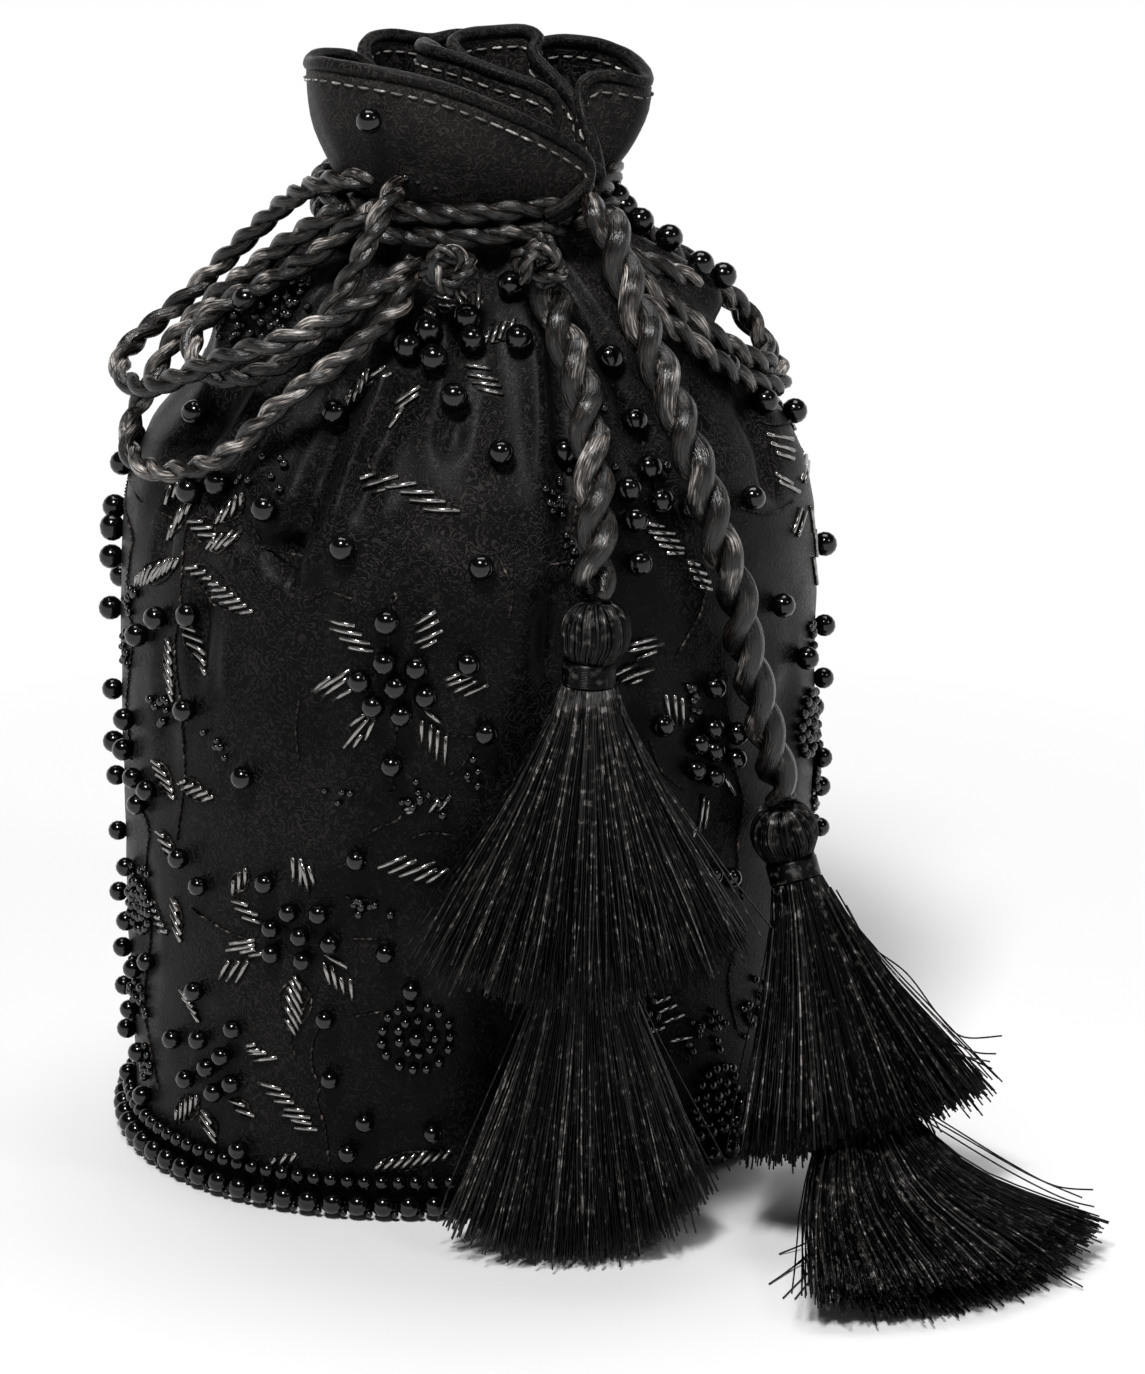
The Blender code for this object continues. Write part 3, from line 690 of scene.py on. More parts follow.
def add_floor():
    """White paper that shades near the bag, is plain white further off, and throws less light than it shows."""
    finish, tree, shader = new_finish("paper")
    speckle = node(tree, "ShaderNodeTexNoise", {"Scale": 300.0}).outputs["Fac"]
    shown = shown_rays(tree)
    links = {
        "Base Color": ranged(tree, shown, to_low=FLOOR_THROWN, to_high=FLOOR_SHOWN),
        "Normal": bump(tree, speckle, 0.05, 0.0001),
    }
    set_shader(tree, shader, links, {"Roughness": 0.75})
    apart = node(tree, "ShaderNodeVectorMath", None, {0: object_place(tree)}, operation="LENGTH")
    share = maths(tree, "MULTIPLY", shown, ranged(tree, apart.outputs["Value"], *FLOOR_WHITENS))
    white = node(tree, "ShaderNodeEmission", {"Strength": 1.0}).outputs["Emission"]
    both = node(tree, "ShaderNodeMixShader", None, {"Fac": share, 1: shader.outputs["BSDF"], 2: white})
    tree.links.new(both.outputs["Shader"], tree.nodes["Material Output"].inputs["Surface"])
    mesh = bpy.data.meshes.new("floor")
    corners = [(x * FLOOR_HALF, y * FLOOR_HALF, 0) for x, y in ((-1, -1), (1, -1), (1, 1), (-1, 1))]
    mesh.from_pydata(corners, [], [(0, 1, 2, 3)])
    mesh.materials.append(finish)
    made = bpy.data.objects.new("floor", mesh)
    bpy.context.scene.collection.objects.link(made)


bpy.context.scene.view_settings.view_transform = "Standard"
add_camera()
add_world()
add_floor()
for lamp in LAMPS:
    add_lamp(*lamp)


# Cords


# Their routes: (degrees round the bag, mm below the neck's foot, mm out from the body)
LEFT_OUTER_LOOP = (
    (233, -13.6, 2.4), (222, -13.2, 4.8), (203, -9.5, 6.7), (188, -4.5, 9.4), (180, 1.0, 13.3),
    (176, 6.5, 11.6), (174, 12.0, 10.7), (175, 17.0, 11.2), (177, 21.0, 12.9), (181, 24.0, 14.9),
    (185, 26.0, 16.5), (191, 27.5, 16.7), (197, 28.2, 14.9), (205, 26.0, 14.6), (211, 22.5, 15.1),
    (217, 19.0, 15.7), (223, 15.8, 15.9), (230, 13.0, 15.4), (235, 10.5, 14.7), (240, 8.0, 14.3),
    (244, 5.8, 14.2), (248, 3.3, 14.2), (252, 0.8, 12.3), (255, -1.5, 9.7),
)
LEFT_LOWER_LOOP = (
    (227, -8.7, 7.2), (220, -6.0, 9.1), (211, -2.0, 11.2), (202, 3.0, 12.2), (196, 8.0, 9.2),
    (191, 12.5, 8.9), (189, 17.0, 9.0), (188, 22.0, 9.5), (190, 27.5, 9.2), (191, 33.5, 8.1),
    (195, 38.5, 7.4), (201, 41.5, 6.3), (208, 42.0, 4.4), (215, 40.0, 3.5), (222, 36.5, 4.7),
    (227, 32.0, 6.7), (231, 27.0, 8.7), (235, 22.5, 10.2), (239, 18.7, 10.7), (243, 15.5, 10.2),
    (247, 12.0, 9.9), (250, 9.0, 8.9), (253, 6.8, 9.0), (254, 3.2, 9.6), (255, 0.6, 9.8),
)
LEFT_FRONT_LOOP = (
    (244, -13.7, 0.8), (246, -13.0, 7.8), (245, -9.3, 12.0), (243, -4.5, 14.5), (240, 0.7, 15.9),
    (237, 5.7, 11.6), (234, 10.5, 7.6), (230, 15.2, 5.6), (226, 19.0, 5.6), (221, 21.7, 6.8),
    (214, 23.0, 8.0), (208, 22.5, 9.5), (202, 20.0, 10.9), (198, 16.5, 10.5), (199, 12.7, 8.9),
    (204, 9.0, 7.1), (210, 5.0, 7.9), (218, 1.2, 9.6), (225, -2.6, 9.4), (231, -6.0, 7.4), (236, -8.8, 4.6),
)
RIGHT_UPPER_LOOP = (
    (326, 1.0, 6.5), (331, 3.2, 9.0), (338, 6.6, 9.6), (346, 9.9, 8.6), (353, 12.6, 8.2),
    (359, 15.6, 8.4), (3.6, 19.6, 8.4), (4.8, 24.2, 7.6), (1.8, 28.2, 6.4), (355.5, 28.4, 5.6),
    (348.5, 24.8, 5.0), (341.5, 19.6, 5.0), (334.5, 14.2, 5.6), (328.5, 9.2, 7.0), (324, 5.0, 9.4),
)
RIGHT_LOWER_LOOP = (
    (318, 7.7, 9.9), (323, 12.5, 7.5), (330, 18.0, 5.8), (337, 23.5, 4.2), (345, 28.7, 3.4),
    (354, 32.5, 3.8), (1, 34.2, 4.6), (8, 32.2, 6.0), (13, 27.5, 6.4), (15, 22.0, 6.6),
    (14, 16.5, 6.2), (10, 11.0, 5.4), (6, 5.5, 5.4), (4, 0.5, 5.5),
)
FRONT_TASSEL_CORD = (
    (296, 0.6, 4.6), (295, 3.8, 7.0), (294, 8.7, 7.1), (294, 14.3, 8.3), (294, 20.3, 9.3), (293, 27.5, 9.7),
    (292, 35.5, 9.4), (291, 43.5, 9.2), (290, 50.0, 8.9), (290, 55.0, 8.4),
)
SIDE_TASSEL_CORD = (
    (320, -3.0, 5.0), (317, -6.8, 7.2), (314.5, -8.0, 11.2), (313, -5.0, 15.4), (312, 0.4, 18.4),
    (311, 6.5, 15.4),
    (311, 13.0, 12.7), (311, 19.5, 11.8), (311, 25.7, 11.4), (311, 32.0, 10.8), (312, 39.0, 9.2),
    (313, 49.0, 7.3), (316, 61.0, 6.9), (318, 71.5, 6.4), (321, 83.0, 6.6), (324, 95.0, 7.2),
    (327, 104.0, 7.4), (327, 107.5, 7.6),
)
NECK_TURNS = 1.9
NECK_WIND = 4.6
NECK_CORD_RISE = 1.2
NECK_CORD_OUT = 2.6
NECK_CORD_START = math.radians(60)
NECK_STEPS = 160
CORD_STEP = 0.9
# Length at the end of a thick cord over which its plies part to form the tassel's eyelet
EYELET = 7.0
# The two plies of a cord: radius of each, its distance from the middle, length of one twist
THIN_PLIES = (1.36, 1.0, 13.5)
THICK_PLIES = (2.3, 1.8, 19.5)
PLY_SIDES = 9


def route(places):
    return smooth_curve([beside_bag(degrees, NECK_FOOT - drop, out) for degrees, drop, out in places])


def neck_route():
    line = []
    for step in range(NECK_STEPS + 1):
        turn = NECK_TURNS * step / NECK_STEPS
        angle = NECK_CORD_START + 2 * math.pi * turn
        line.append(around(angle, NECK_RADIUS + NECK_CORD_OUT, NECK_FOOT + NECK_CORD_RISE + NECK_WIND * turn))
    return line


def twisted_cord(name, line, plies, painted_highlight=0.0, opens=False):
    """A cord of two plies that wind round each other. The fourth argument raises how much of it carries painted
    highlight.
    """
    ply_radius, ply_out, pitch = plies
    line = evenly(line, CORD_STEP)
    frames = steady_frames(line)
    total = line_length(line)
    build = Build()
    for ply in range(2):
        places, radii = [], []
        walked = 0.0
        for index, point in enumerate(line):
            if index:
                walked += (point - line[index - 1]).length
            turn = math.pi * ply - 2 * math.pi * walked / pitch + 0.35 * math.sin(walked / 17)
            across, up = frames[index]
            near_end = ease(1 - (total - walked) / EYELET) if opens else 0.0
            out = ply_out * (1 + 0.5 * near_end)
            places.append(point + (across * math.cos(turn) + up * math.sin(turn)) * out)
            tip = min(walked, total - walked)
            taper = 0.7 + 0.3 * ease(tip / 3)
            radii.append(ply_radius * taper * (1 - 0.25 * near_end) * (1 + 0.05 * noise.noise(point * 0.25)))
        add_tube(build, places, radii, PLY_SIDES, painted_highlight + (0.04 if ply else -0.02))
    return build.piece(name, CORD_SATIN, "cord_satin", 2 * math.pi * ply_radius), line


def free_cord(name, places, painted_highlight=0.0, thick=False):
    plies = THICK_PLIES if thick else THIN_PLIES
    made, line = twisted_cord(name + "_twist", route(places), plies, painted_highlight, thick)
    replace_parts(made, name)


# Tassels

HEAD_HEIGHT = 12.0
BAND_RADIUS = 5.3
BAND_HEIGHT = 4.8
GAP = 0.3
LOWER_TIE_SHARE = 0.6
LOWER_TIE_RADIUS = 4.2
LOWER_TIE_HEIGHT = 3.6
LOWER_NECK = 3.6
FRINGE_SPREAD = ((0.0, 0.0), (0.15, 0.09), (0.42, 0.35), (0.72, 0.69), (1.0, 1.0))
# The tiers of the tassels. places are those of the spine below the cord: (degrees, mm out, share of height).
# width and depth are half the fan's size at its end, arc and skew shape its edge, and more lengthens it.
FRONT_UPPER = {
    "places": ((288.8, 8.7, 0.884), (287.6, 12.2, 0.59), (287.0, 14.8, 0.41)),
    "width": 31.0, "depth": 13.0, "arc": 7.0, "more": 0.0, "skew": 4.0, "shade": 0.44,
}
FRONT_LOWER = {
    "places": ((288.8, 8.7, 0.884), (287.6, 12.2, 0.59), (287.0, 14.8, 0.41), (286.6, 21.6, 0.018)),
    "width": 25.0, "depth": 11.5, "arc": 3.0, "more": -0.5, "skew": 6.0, "shade": 0.44,
}
# The side tassel's threads are painted darker than the front's (shade 0.24 and 0.28 against 0.44): painted
# shade, against the light that falls more on it.
SIDE_UPPER = {
    "places": ((327.8, 11.5, 0.786), (324.4, 25.0, 0.5), (321.9, 39.1, 0.236)),
    "width": 28.0, "depth": 12.5, "arc": 2.0, "more": 0.0, "skew": 0.0, "shade": 0.24,
}
SIDE_LOWER = {
    "places": (
        (327.8, 11.5, 0.786), (324.4, 25.0, 0.5), (322.3, 36.3, 0.28),
        (317.6, 55.3, 0.13), (314.6, 78.1, 0.072),
    ),
    "width": 33.0, "depth": 4.6, "arc": 11.0, "more": 6.5, "skew": 0.0, "shade": 0.28,
}
SPINE_RUN = 8.0
BEND_REACH = 3.0
THREADS = 1500
THREAD_RADIUS = 0.21
THREAD_RINGS = 9
STRAY_SHARE = 0.015
LONG_SHARE = 0.03
TABLE_GAP = 0.1
STRAY_SHADE = 0.3
# The soft body behind the threads, and how shaded it and the cores of the bindings are
SOFT_RINGS = 10
SOFT_SEGMENTS = 28
SOFT_SHADE = 0.05
CORE_SHADE = 0.1
BINDING_SHADE = 0.35
BINDING_STEPS = 26
# Profile of a tassel's head: (share of the way down, radius)
HEAD_SHAPE = (
    (0.1, 0.75), (0.03, 2.1), (0.05, 3.5), (0.15, 5.0), (0.3, 6.1), (0.5, 6.6), (0.7, 6.3), (0.87, 5.4),
    (1.0, 4.6),
)
HEAD_STRANDS = 84
HEAD_STEPS = 14
HEAD_SEGMENTS = 24


def on_line(line, distance):
    walked = 0.0
    for first, second in zip(line, line[1:]):
        step = (second - first).length
        if walked + step >= distance or second is line[-1]:
            return first + (second - first) * ((distance - walked) / step)
        walked += step


def spine_table(line, across):
    """Points and directions every millimetre down a spine, so that many threads can read them."""
    table = []
    reach = int(line_length(line)) + 12
    for distance in range(reach):
        point = on_line(line, float(distance))
        behind = on_line(line, max(distance - BEND_REACH, 0.0))
        direction = (on_line(line, distance + BEND_REACH) - behind).normalized()
        side = (across - direction * across.dot(direction)).normalized()
        table.append((point, side, -direction.cross(side)))
    return table


def from_spine(table, distance, x, y):
    distance = min(max(distance, 0.0), len(table) - 1.001)
    low = int(distance)
    share = distance - low
    point, side, depth = table[low]
    point_b, side_b, depth_b = table[low + 1]
    return point.lerp(point_b, share) + side.lerp(side_b, share) * x + depth.lerp(depth_b, share) * y


def spine_from(cord, places):
    end = cord[-1]
    run = (end - cord[-8]).normalized() * SPINE_RUN
    points = [end - run, end, end + run]
    points += [beside_bag(degrees, end.z * share, out) for degrees, out, share in places]
    return smooth_curve(points)[12:]


def off_table(line, gap):
    for point in line:
        point.z = max(point.z, gap)
    return line


def fringe(name, node_name, table, start, end, neck, tier, seed):
    """Loose threads that leave a neck and spread into a flat fan, with a soft body behind them."""
    chance = random.Random(seed)
    build = Build()
    length = end - start
    for _ in range(THREADS):
        turn = chance.uniform(0, 2 * math.pi)
        strays = chance.random() <= STRAY_SHARE
        layer = chance.uniform(1.0, 1.12) if strays else math.sqrt(chance.uniform(0.25, 1.0))
        side = min(layer * math.cos(turn), 1.0)
        over = tier["more"] + chance.gauss(0, 1.2) - tier["arc"] * side * side
        over -= tier["skew"] * max(side, 0) ** 2
        over += chance.uniform(0, 5) if chance.random() < LONG_SHARE else 0.0
        drift, wave = chance.gauss(0, 0.6), chance.uniform(0, 6.28)
        line = []
        for ring in range(THREAD_RINGS):
            share = ring / (THREAD_RINGS - 1)
            spread = read_shape(FRINGE_SPREAD, share)
            out = mix(0.72 + 0.3 * layer, layer, ease(share * 1.5))
            width = mix(neck, tier["width"], spread) * out
            deep = mix(neck, tier["depth"], share) * out
            bow = math.sin(share * 3.6 + wave) * 0.7 * share
            x = width * math.cos(turn) + (drift + bow) * share * 2
            y = deep * math.sin(turn) + bow
            line.append(from_spine(table, start + (length + over) * share, x, y))
        shade = min(max(chance.gauss(tier["shade"], 0.24), 0.0), 1.0)
        add_tube(build, off_table(line, THREAD_RADIUS + TABLE_GAP), THREAD_RADIUS, 3, shade)
    soft = Build()
    points = []
    for ring in range(SOFT_RINGS):
        share = ring / (SOFT_RINGS - 1)
        width = (mix(neck, tier["width"], read_shape(FRINGE_SPREAD, share)) - 0.5) * mix(0.9, 0.72, share)
        deep = (mix(neck, tier["depth"], share) - 0.5) * mix(0.9, 0.72, share)
        for turn in ring_turns(SOFT_SEGMENTS):
            down = start + (length - 3) * share - tier["arc"] * share**3 * math.cos(turn) ** 2
            points.append(from_spine(table, down, width * math.cos(turn), deep * math.sin(turn)))
    soft.add(off_table(points, 0.5), shell_faces(SOFT_RINGS, SOFT_SEGMENTS, True), None, SOFT_SHADE)
    threads = build.piece(name + "_threads", THREAD_BLACK, "thread")
    body = soft.piece(name + "_body", THREAD_BLACK, "thread")
    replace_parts(threads, node_name)
    return [threads, body]


def wound_band(name, node_name, table, start, height, radius, turns):
    """Thread wound round and round, close beside itself."""
    build = Build()
    steps = turns * BINDING_STEPS
    line = []
    for step in range(steps + 1):
        turn = 2 * math.pi * step / BINDING_STEPS
        down = start + 0.4 + (height - 0.8) * step / steps
        line.append(from_spine(table, down, radius * math.cos(turn), radius * math.sin(turn)))
    add_tube(build, line, (height / turns) * 0.56, 6, BINDING_SHADE)
    core = [from_spine(table, start + height * share / 4, 0, 0) for share in range(5)]
    add_tube(build, core, radius, 20, CORE_SHADE)
    made = build.piece(name, THREAD_BLACK, "thread")
    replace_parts(made, node_name)
    return made


def tassel_head(name, node_name, table, seed):
    """A ball of threads that fold down from the cord all round."""
    chance = random.Random(seed)
    build = Build()
    for strand in range(HEAD_STRANDS):
        turn = 2 * math.pi * (strand + chance.uniform(-0.25, 0.25)) / HEAD_STRANDS
        line = []
        for step in range(HEAD_STEPS + 1):
            share = step / HEAD_STEPS
            place = share * (len(HEAD_SHAPE) - 1)
            low = min(int(place), len(HEAD_SHAPE) - 2)
            down = mix(HEAD_SHAPE[low][0], HEAD_SHAPE[low + 1][0], place - low)
            out = mix(HEAD_SHAPE[low][1], HEAD_SHAPE[low + 1][1], place - low)
            sway = turn + 0.05 * math.sin(share * 3 + strand)
            down = GAP + 0.6 + down * (HEAD_HEIGHT - 0.6)
            line.append(from_spine(table, down, out * math.cos(sway), out * math.sin(sway)))
        add_tube(build, line, 0.29, 5, min(max(chance.gauss(0.42, 0.2), 0), 1))
    points = []
    for share, out in HEAD_SHAPE[2:]:
        down, inside = GAP + 0.9 + share * (HEAD_HEIGHT - 1.2), out - 0.15
        for turn in ring_turns(HEAD_SEGMENTS):
            points.append(from_spine(table, down, inside * math.cos(turn), inside * math.sin(turn)))
    build.add(points, shell_faces(len(HEAD_SHAPE) - 2, HEAD_SEGMENTS, True), None, CORE_SHADE)
    made = build.piece(name, THREAD_BLACK, "thread")
    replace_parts(made, node_name)
    return made


def tassel(name, cord, across, upper, lower, seed):
    upper_line, lower_line = spine_from(cord, upper["places"]), spine_from(cord, lower["places"])
    upper_table, lower_table = spine_table(upper_line, across), spine_table(lower_line, across)
    top = HEAD_HEIGHT + BAND_HEIGHT + 3 * GAP
    foot, end = line_length(upper_line), line_length(lower_line)
    tie = mix(top, foot, LOWER_TIE_SHARE)
    start = tie + LOWER_TIE_HEIGHT + GAP
    band, knot = BAND_RADIUS - GAP, LOWER_TIE_RADIUS - GAP

    def named(part, node_part):
        return name + part, name + node_part

    made = [
        tassel_head(*named("_ball", "_head"), upper_table, seed),
        wound_band(*named("_binding", "_band"), upper_table, HEAD_HEIGHT + 2 * GAP, BAND_HEIGHT, band, 13),
        wound_band(*named("_lower_binding", "_lower_tie"), lower_table, tie + GAP, LOWER_TIE_HEIGHT, knot, 9),
    ]
    made += fringe(*named("_upper", "_upper_skirt"), upper_table, top - GAP, foot, band, upper, seed + 1)
    made += fringe(*named("_lower", "_lower_skirt"), lower_table, start, end, LOWER_NECK, lower, seed + 2)
    return made


# Stray threads by pixel of the photo: (depth of the first place, and of the last or None on the table, places)
SIDE_STRAYS = (
    (-46, -56, ((836, 890), (869, 943), (907, 974), (939, 1016), (963, 1037), (1002, 1036))),
    (-46, -56, ((830, 887), (862, 939), (893, 992), (935, 1030), (971, 1051), (996, 1054))),
    (-47, -57, ((850, 920), (872, 962), (902, 1006), (942, 1044), (992, 1069))),
    (-46, -58, ((846, 905), (880, 966), (915, 1012), (950, 1050), (990, 1062))),
    (-66, -82, ((905, 1098), (956, 1130), (1013, 1165), (1055, 1186), (1093, 1190))),
    (-66, -82, ((908, 1106), (964, 1138), (1027, 1174), (1082, 1198))),
    (-66, -82, ((912, 1112), (950, 1136), (1010, 1172), (1062, 1198), (1094, 1207))),
    (-68, None, ((857, 1174), (841, 1209), (816, 1237), (779, 1254))),
    (-68, None, ((855, 1178), (834, 1227), (799, 1262), (769, 1284))),
    (-68, None, ((851, 1188), (830, 1241), (806, 1276), (783, 1298))),
    (-68, None, ((848, 1206), (823, 1262), (795, 1299))),
    (-68, None, ((856, 1180), (828, 1238), (786, 1272))),
)


def stray_threads(name, strays):
    build = Build()
    for first, last, places in strays:
        if last is None:
            ray = pixel_ray(*places[-1])
            last = (EYE + ray * ((THREAD_RADIUS + TABLE_GAP - EYE.z) / ray.z)).y
        count = len(places) - 1
        line = smooth_curve([at_depth(x, y, mix(first, last, n / count)) for n, (x, y) in enumerate(places)])
        add_tube(build, off_table(line, THREAD_RADIUS + TABLE_GAP), THREAD_RADIUS, 3, STRAY_SHADE)
    return build.piece(name, THREAD_BLACK, "thread")


front_line = evenly(route(FRONT_TASSEL_CORD), CORD_STEP)
side_line = evenly(route(SIDE_TASSEL_CORD), CORD_STEP)
front_tassel = tassel("front_tassel", front_line, Vector((1.0, 0.1, 0.0)), FRONT_UPPER, FRONT_LOWER, 11)
side_tassel = tassel("side_tassel", side_line, Vector((0.86, 0.5, 0.0)), SIDE_UPPER, SIDE_LOWER, 31)
side_tassel.append(stray_threads("side_tassel_strays", SIDE_STRAYS))
dress("front_tassel_core_cord", THREAD_BLACK)
dress("side_tassel_core_cord", THREAD_BLACK)

# Knots by pixel: (x, y, depth, seed), and the loops of cord that one is made of
LEFT_KNOT = (447, 268, -42.0, 5)
FRONT_KNOT = (541, 262, -38.0, 8)
KNOT_LOOPS = 4
KNOT_STEPS = 36
KNOT_TWIST = 12
KNOT_PLY_OUT = 0.62
KNOT_PLY_RADIUS = 0.8


def knot_of_loops(name, x, y, depth, seed):
    """A small knot: the cord turns round itself in a few little loops."""
    chance = random.Random(seed)
    build = Build()
    for _ in range(KNOT_LOOPS):
        near_x, near_y = x + chance.uniform(-5, 5), y + chance.uniform(-4, 4)
        centre = at_depth(near_x, near_y, depth + chance.uniform(-1.5, 1.5))
        turned = Matrix.Rotation(chance.uniform(0, 3.1), 3, "Y")
        tilt = turned @ Matrix.Rotation(chance.uniform(-0.8, 0.8), 3, "X")
        wide, tall = chance.uniform(3.4, 4.8), chance.uniform(2.0, 3.0)
        loop = []
        for step in range(KNOT_STEPS + 1):
            turn = 2 * math.pi * step / KNOT_STEPS
            spot_on_loop = Vector((wide * math.cos(turn), 0.8 * math.sin(2 * turn), tall * math.sin(turn)))
            loop.append(centre + tilt @ spot_on_loop)
        frames = steady_frames(loop)
        for ply in range(2):
            places = []
            for index, point in enumerate(loop):
                spin = math.pi * ply - 2 * math.pi * index / KNOT_TWIST
                across, up = frames[index]
                places.append(point + (across * math.cos(spin) + up * math.sin(spin)) * KNOT_PLY_OUT)
            add_tube(build, places, KNOT_PLY_RADIUS, 7, chance.uniform(-0.05, 0.06))
    return build.piece(name, CORD_SATIN, "cord_satin", 5.0)


left_knot = knot_of_loops("left_knot", *LEFT_KNOT)
front_knot = knot_of_loops("front_knot", *FRONT_KNOT)
front_tassel += [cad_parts["front_tassel_core_cord"], front_knot]
side_tassel += [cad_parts["side_tassel_core_cord"]]
# The small numbers given to the cords below raise or lower how much painted highlight their plies carry.
free_cord("left_outer_loop", LEFT_OUTER_LOOP)
free_cord("left_lower_loop", LEFT_LOWER_LOOP, 0.04)
free_cord("left_front_loop", LEFT_FRONT_LOOP, 0.03)
free_cord("right_upper_loop", RIGHT_UPPER_LOOP, 0.02)
free_cord("right_lower_loop", RIGHT_LOWER_LOOP)
free_cord("front_tassel_cord", FRONT_TASSEL_CORD, 0.0, thick=True)
free_cord("side_tassel_cord", SIDE_TASSEL_CORD, 0.0, thick=True)
neck_twist, _ = twisted_cord("neck_cord_twist", neck_route(), THIN_PLIES, -0.05)
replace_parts(neck_twist, "neck_cord")


# Cloth of the bag


CLOTH_FOOT = 2.7
TURN_IN_HEIGHT = 198
TURN_IN = 1.2
LINING_FOOT = 5.2
LINING_TOP = 172.0
LINING_GAP = 0.6


def skin_points(rows, columns, foot, top, inside=0.0):
    """Rings of points on the visible cloth, or some way inside it."""
    points = []
    for row in range(rows):
        height = foot + (top - foot) * (row / (rows - 1))
        for column in range(columns):
            angle = 2 * math.pi * column / columns
            radius = skin_radius(height, angle) - max(height - TURN_IN_HEIGHT, 0.0) * TURN_IN - inside
            points.append(around(angle, radius, height))
    return points


def bag_skin():
    """The wall, shoulder and neck, sewn as one bag, with the creases that the drawn neck makes."""
    columns, rows = 400, 150
    build = Build()
    build.add(skin_points(rows, columns, CLOTH_FOOT, NECK_TOP - 2.0), grid_faces(rows, columns, True))
    made = build.piece("bag_cloth", CLOTH_BLACK, "black_cloth")
    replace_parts(made, "outer_shell")


def inner_bag():
    """The lining, a little inside the cloth all over, closed at the foot."""
    columns, rows = 120, 60
    build = Build()
    points = skin_points(rows, columns, LINING_FOOT, LINING_TOP, CLOTH + LINING_GAP)
    build.add(points, grid_faces(rows, columns, True) + [tuple(range(columns))])
    made = build.piece("inner_bag", LINING_BLACK, "lining_cloth")
    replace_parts(made, "lining")


# Rim of the frill, as (zoomed pixel x, y, depth, degrees round the neck). The zoom began at one corner.
ZOOM_CORNER = (295.0, 15.0)
ZOOM = 4.238
OUTER_RIM = (
    (1060, 850, -25, 318), (1150, 800, -24.5, 316), (1215, 740, -23.5, 313), (1246, 680, -22.5, 310),
    (1235, 615, -22.5, 306), (1165, 555, -25, 300), (1000, 465, -28.5, 288), (800, 375, -31, 274),
    (600, 302, -31.5, 260), (400, 255, -30, 246), (230, 225, -26, 233), (110, 205, -20, 221),
    (62, 205, -12, 210), (90, 172, -5, 202), (180, 168, 1, 196), (270, 190, 4, 190), (335, 245, 4, 186),
    (312, 215, 8, 181), (292, 140, 11, 174), (340, 94, 17, 164), (430, 86, 21, 152), (570, 105, 24, 138),
)
# The back of the frill and its right lobe, as (x, y, z, degrees round the neck)
OUTER_BACK = (
    (-2.0, 29.0, 216.5, 122), (5.0, 31.0, 215.0, 110), (10.0, 27.0, 213.5, 98), (9.0, 20.0, 213.5, 90),
    (13.0, 23.5, 215.5, 80), (18.5, 26.5, 216.0, 68), (26.0, 24.5, 215.6, 54), (31.4, 18.0, 215.1, 36),
    (34.6, 9.0, 214.4, 20), (35.2, 2.5, 213.8, 10), (33.4, -1.5, 214.6, 4), (29.5, -3.5, 216.0, 358),
    (25.0, -4.5, 216.4, 352), (22.4, -7.0, 214.8, 347), (22.6, -10.5, 211.0, 342), (24.8, -14.0, 205.0, 336),
    (26.0, -16.0, 199.0, 330),
)
CENTRE_RIM = (
    (600, 150, 8, 190), (550, 122, 4, 205), (535, 140, -2, 220), (600, 160, -7, 235), (720, 195, -10, 250),
    (850, 245, -12.5, 262), (1000, 295, -14, 276), (1080, 338, -14.5, 290), (1108, 390, -14.5, 300),
    (1095, 480, -15, 306), (1060, 610, -17, 310),
)
THIRD_RIM = (
    (760, 230, 0, 200), (690, 160, 1, 180), (668, 118, 5, 160), (720, 86, 10, 130), (850, 70, 13, 105),
    (975, 68, 13, 80), (1030, 102, 9, 50), (1005, 165, 5, 30), (1080, 250, 1, 10), (1160, 335, -3, 350),
    (1205, 420, -7, 335), (1215, 570, -11, 325),
)
OUTER_FOOT = 22.5
INNER_FOOT = 11.0
FOOT_HEIGHT = 190.0
HEM_RADIUS = 1.35
FRILL_THICK = 1.3
STITCH_DROP = 3.1
STITCH_LENGTH = 2.1
STITCH_SPACE = 3.3
FRILL_ROWS = 12
HEM_STEP = 1.6
FIRST_STITCH = 0.8
STITCH_RADII = [0.2, 0.3, 0.2]
# How far the frill's cloth bulges between neck and rim, for its outer, middle and inner layer
FRILL_BULGES = (0.8, 1.0, 0.5)
# The frill's height as cut: lowered until the area of its gathered shape agreed with it
# Beads on the flap of the frill: (pixel x, y) at a depth
FLAP_PEARL = (369, 121, -32.5)
FLAP_SEEDS = ((405, 178), (412, 172), (418, 181), (430, 176), (436, 187), (449, 181), (463, 178), (471, 187))
FLAP_SEED_DEPTH = -27.2


def rim_points(zoomed):
    made = []
    for x, y, depth, degrees in zoomed:
        point = at_depth(ZOOM_CORNER[0] + x / ZOOM, ZOOM_CORNER[1] + y / ZOOM, depth)
        made.append((point, degrees))
    return made


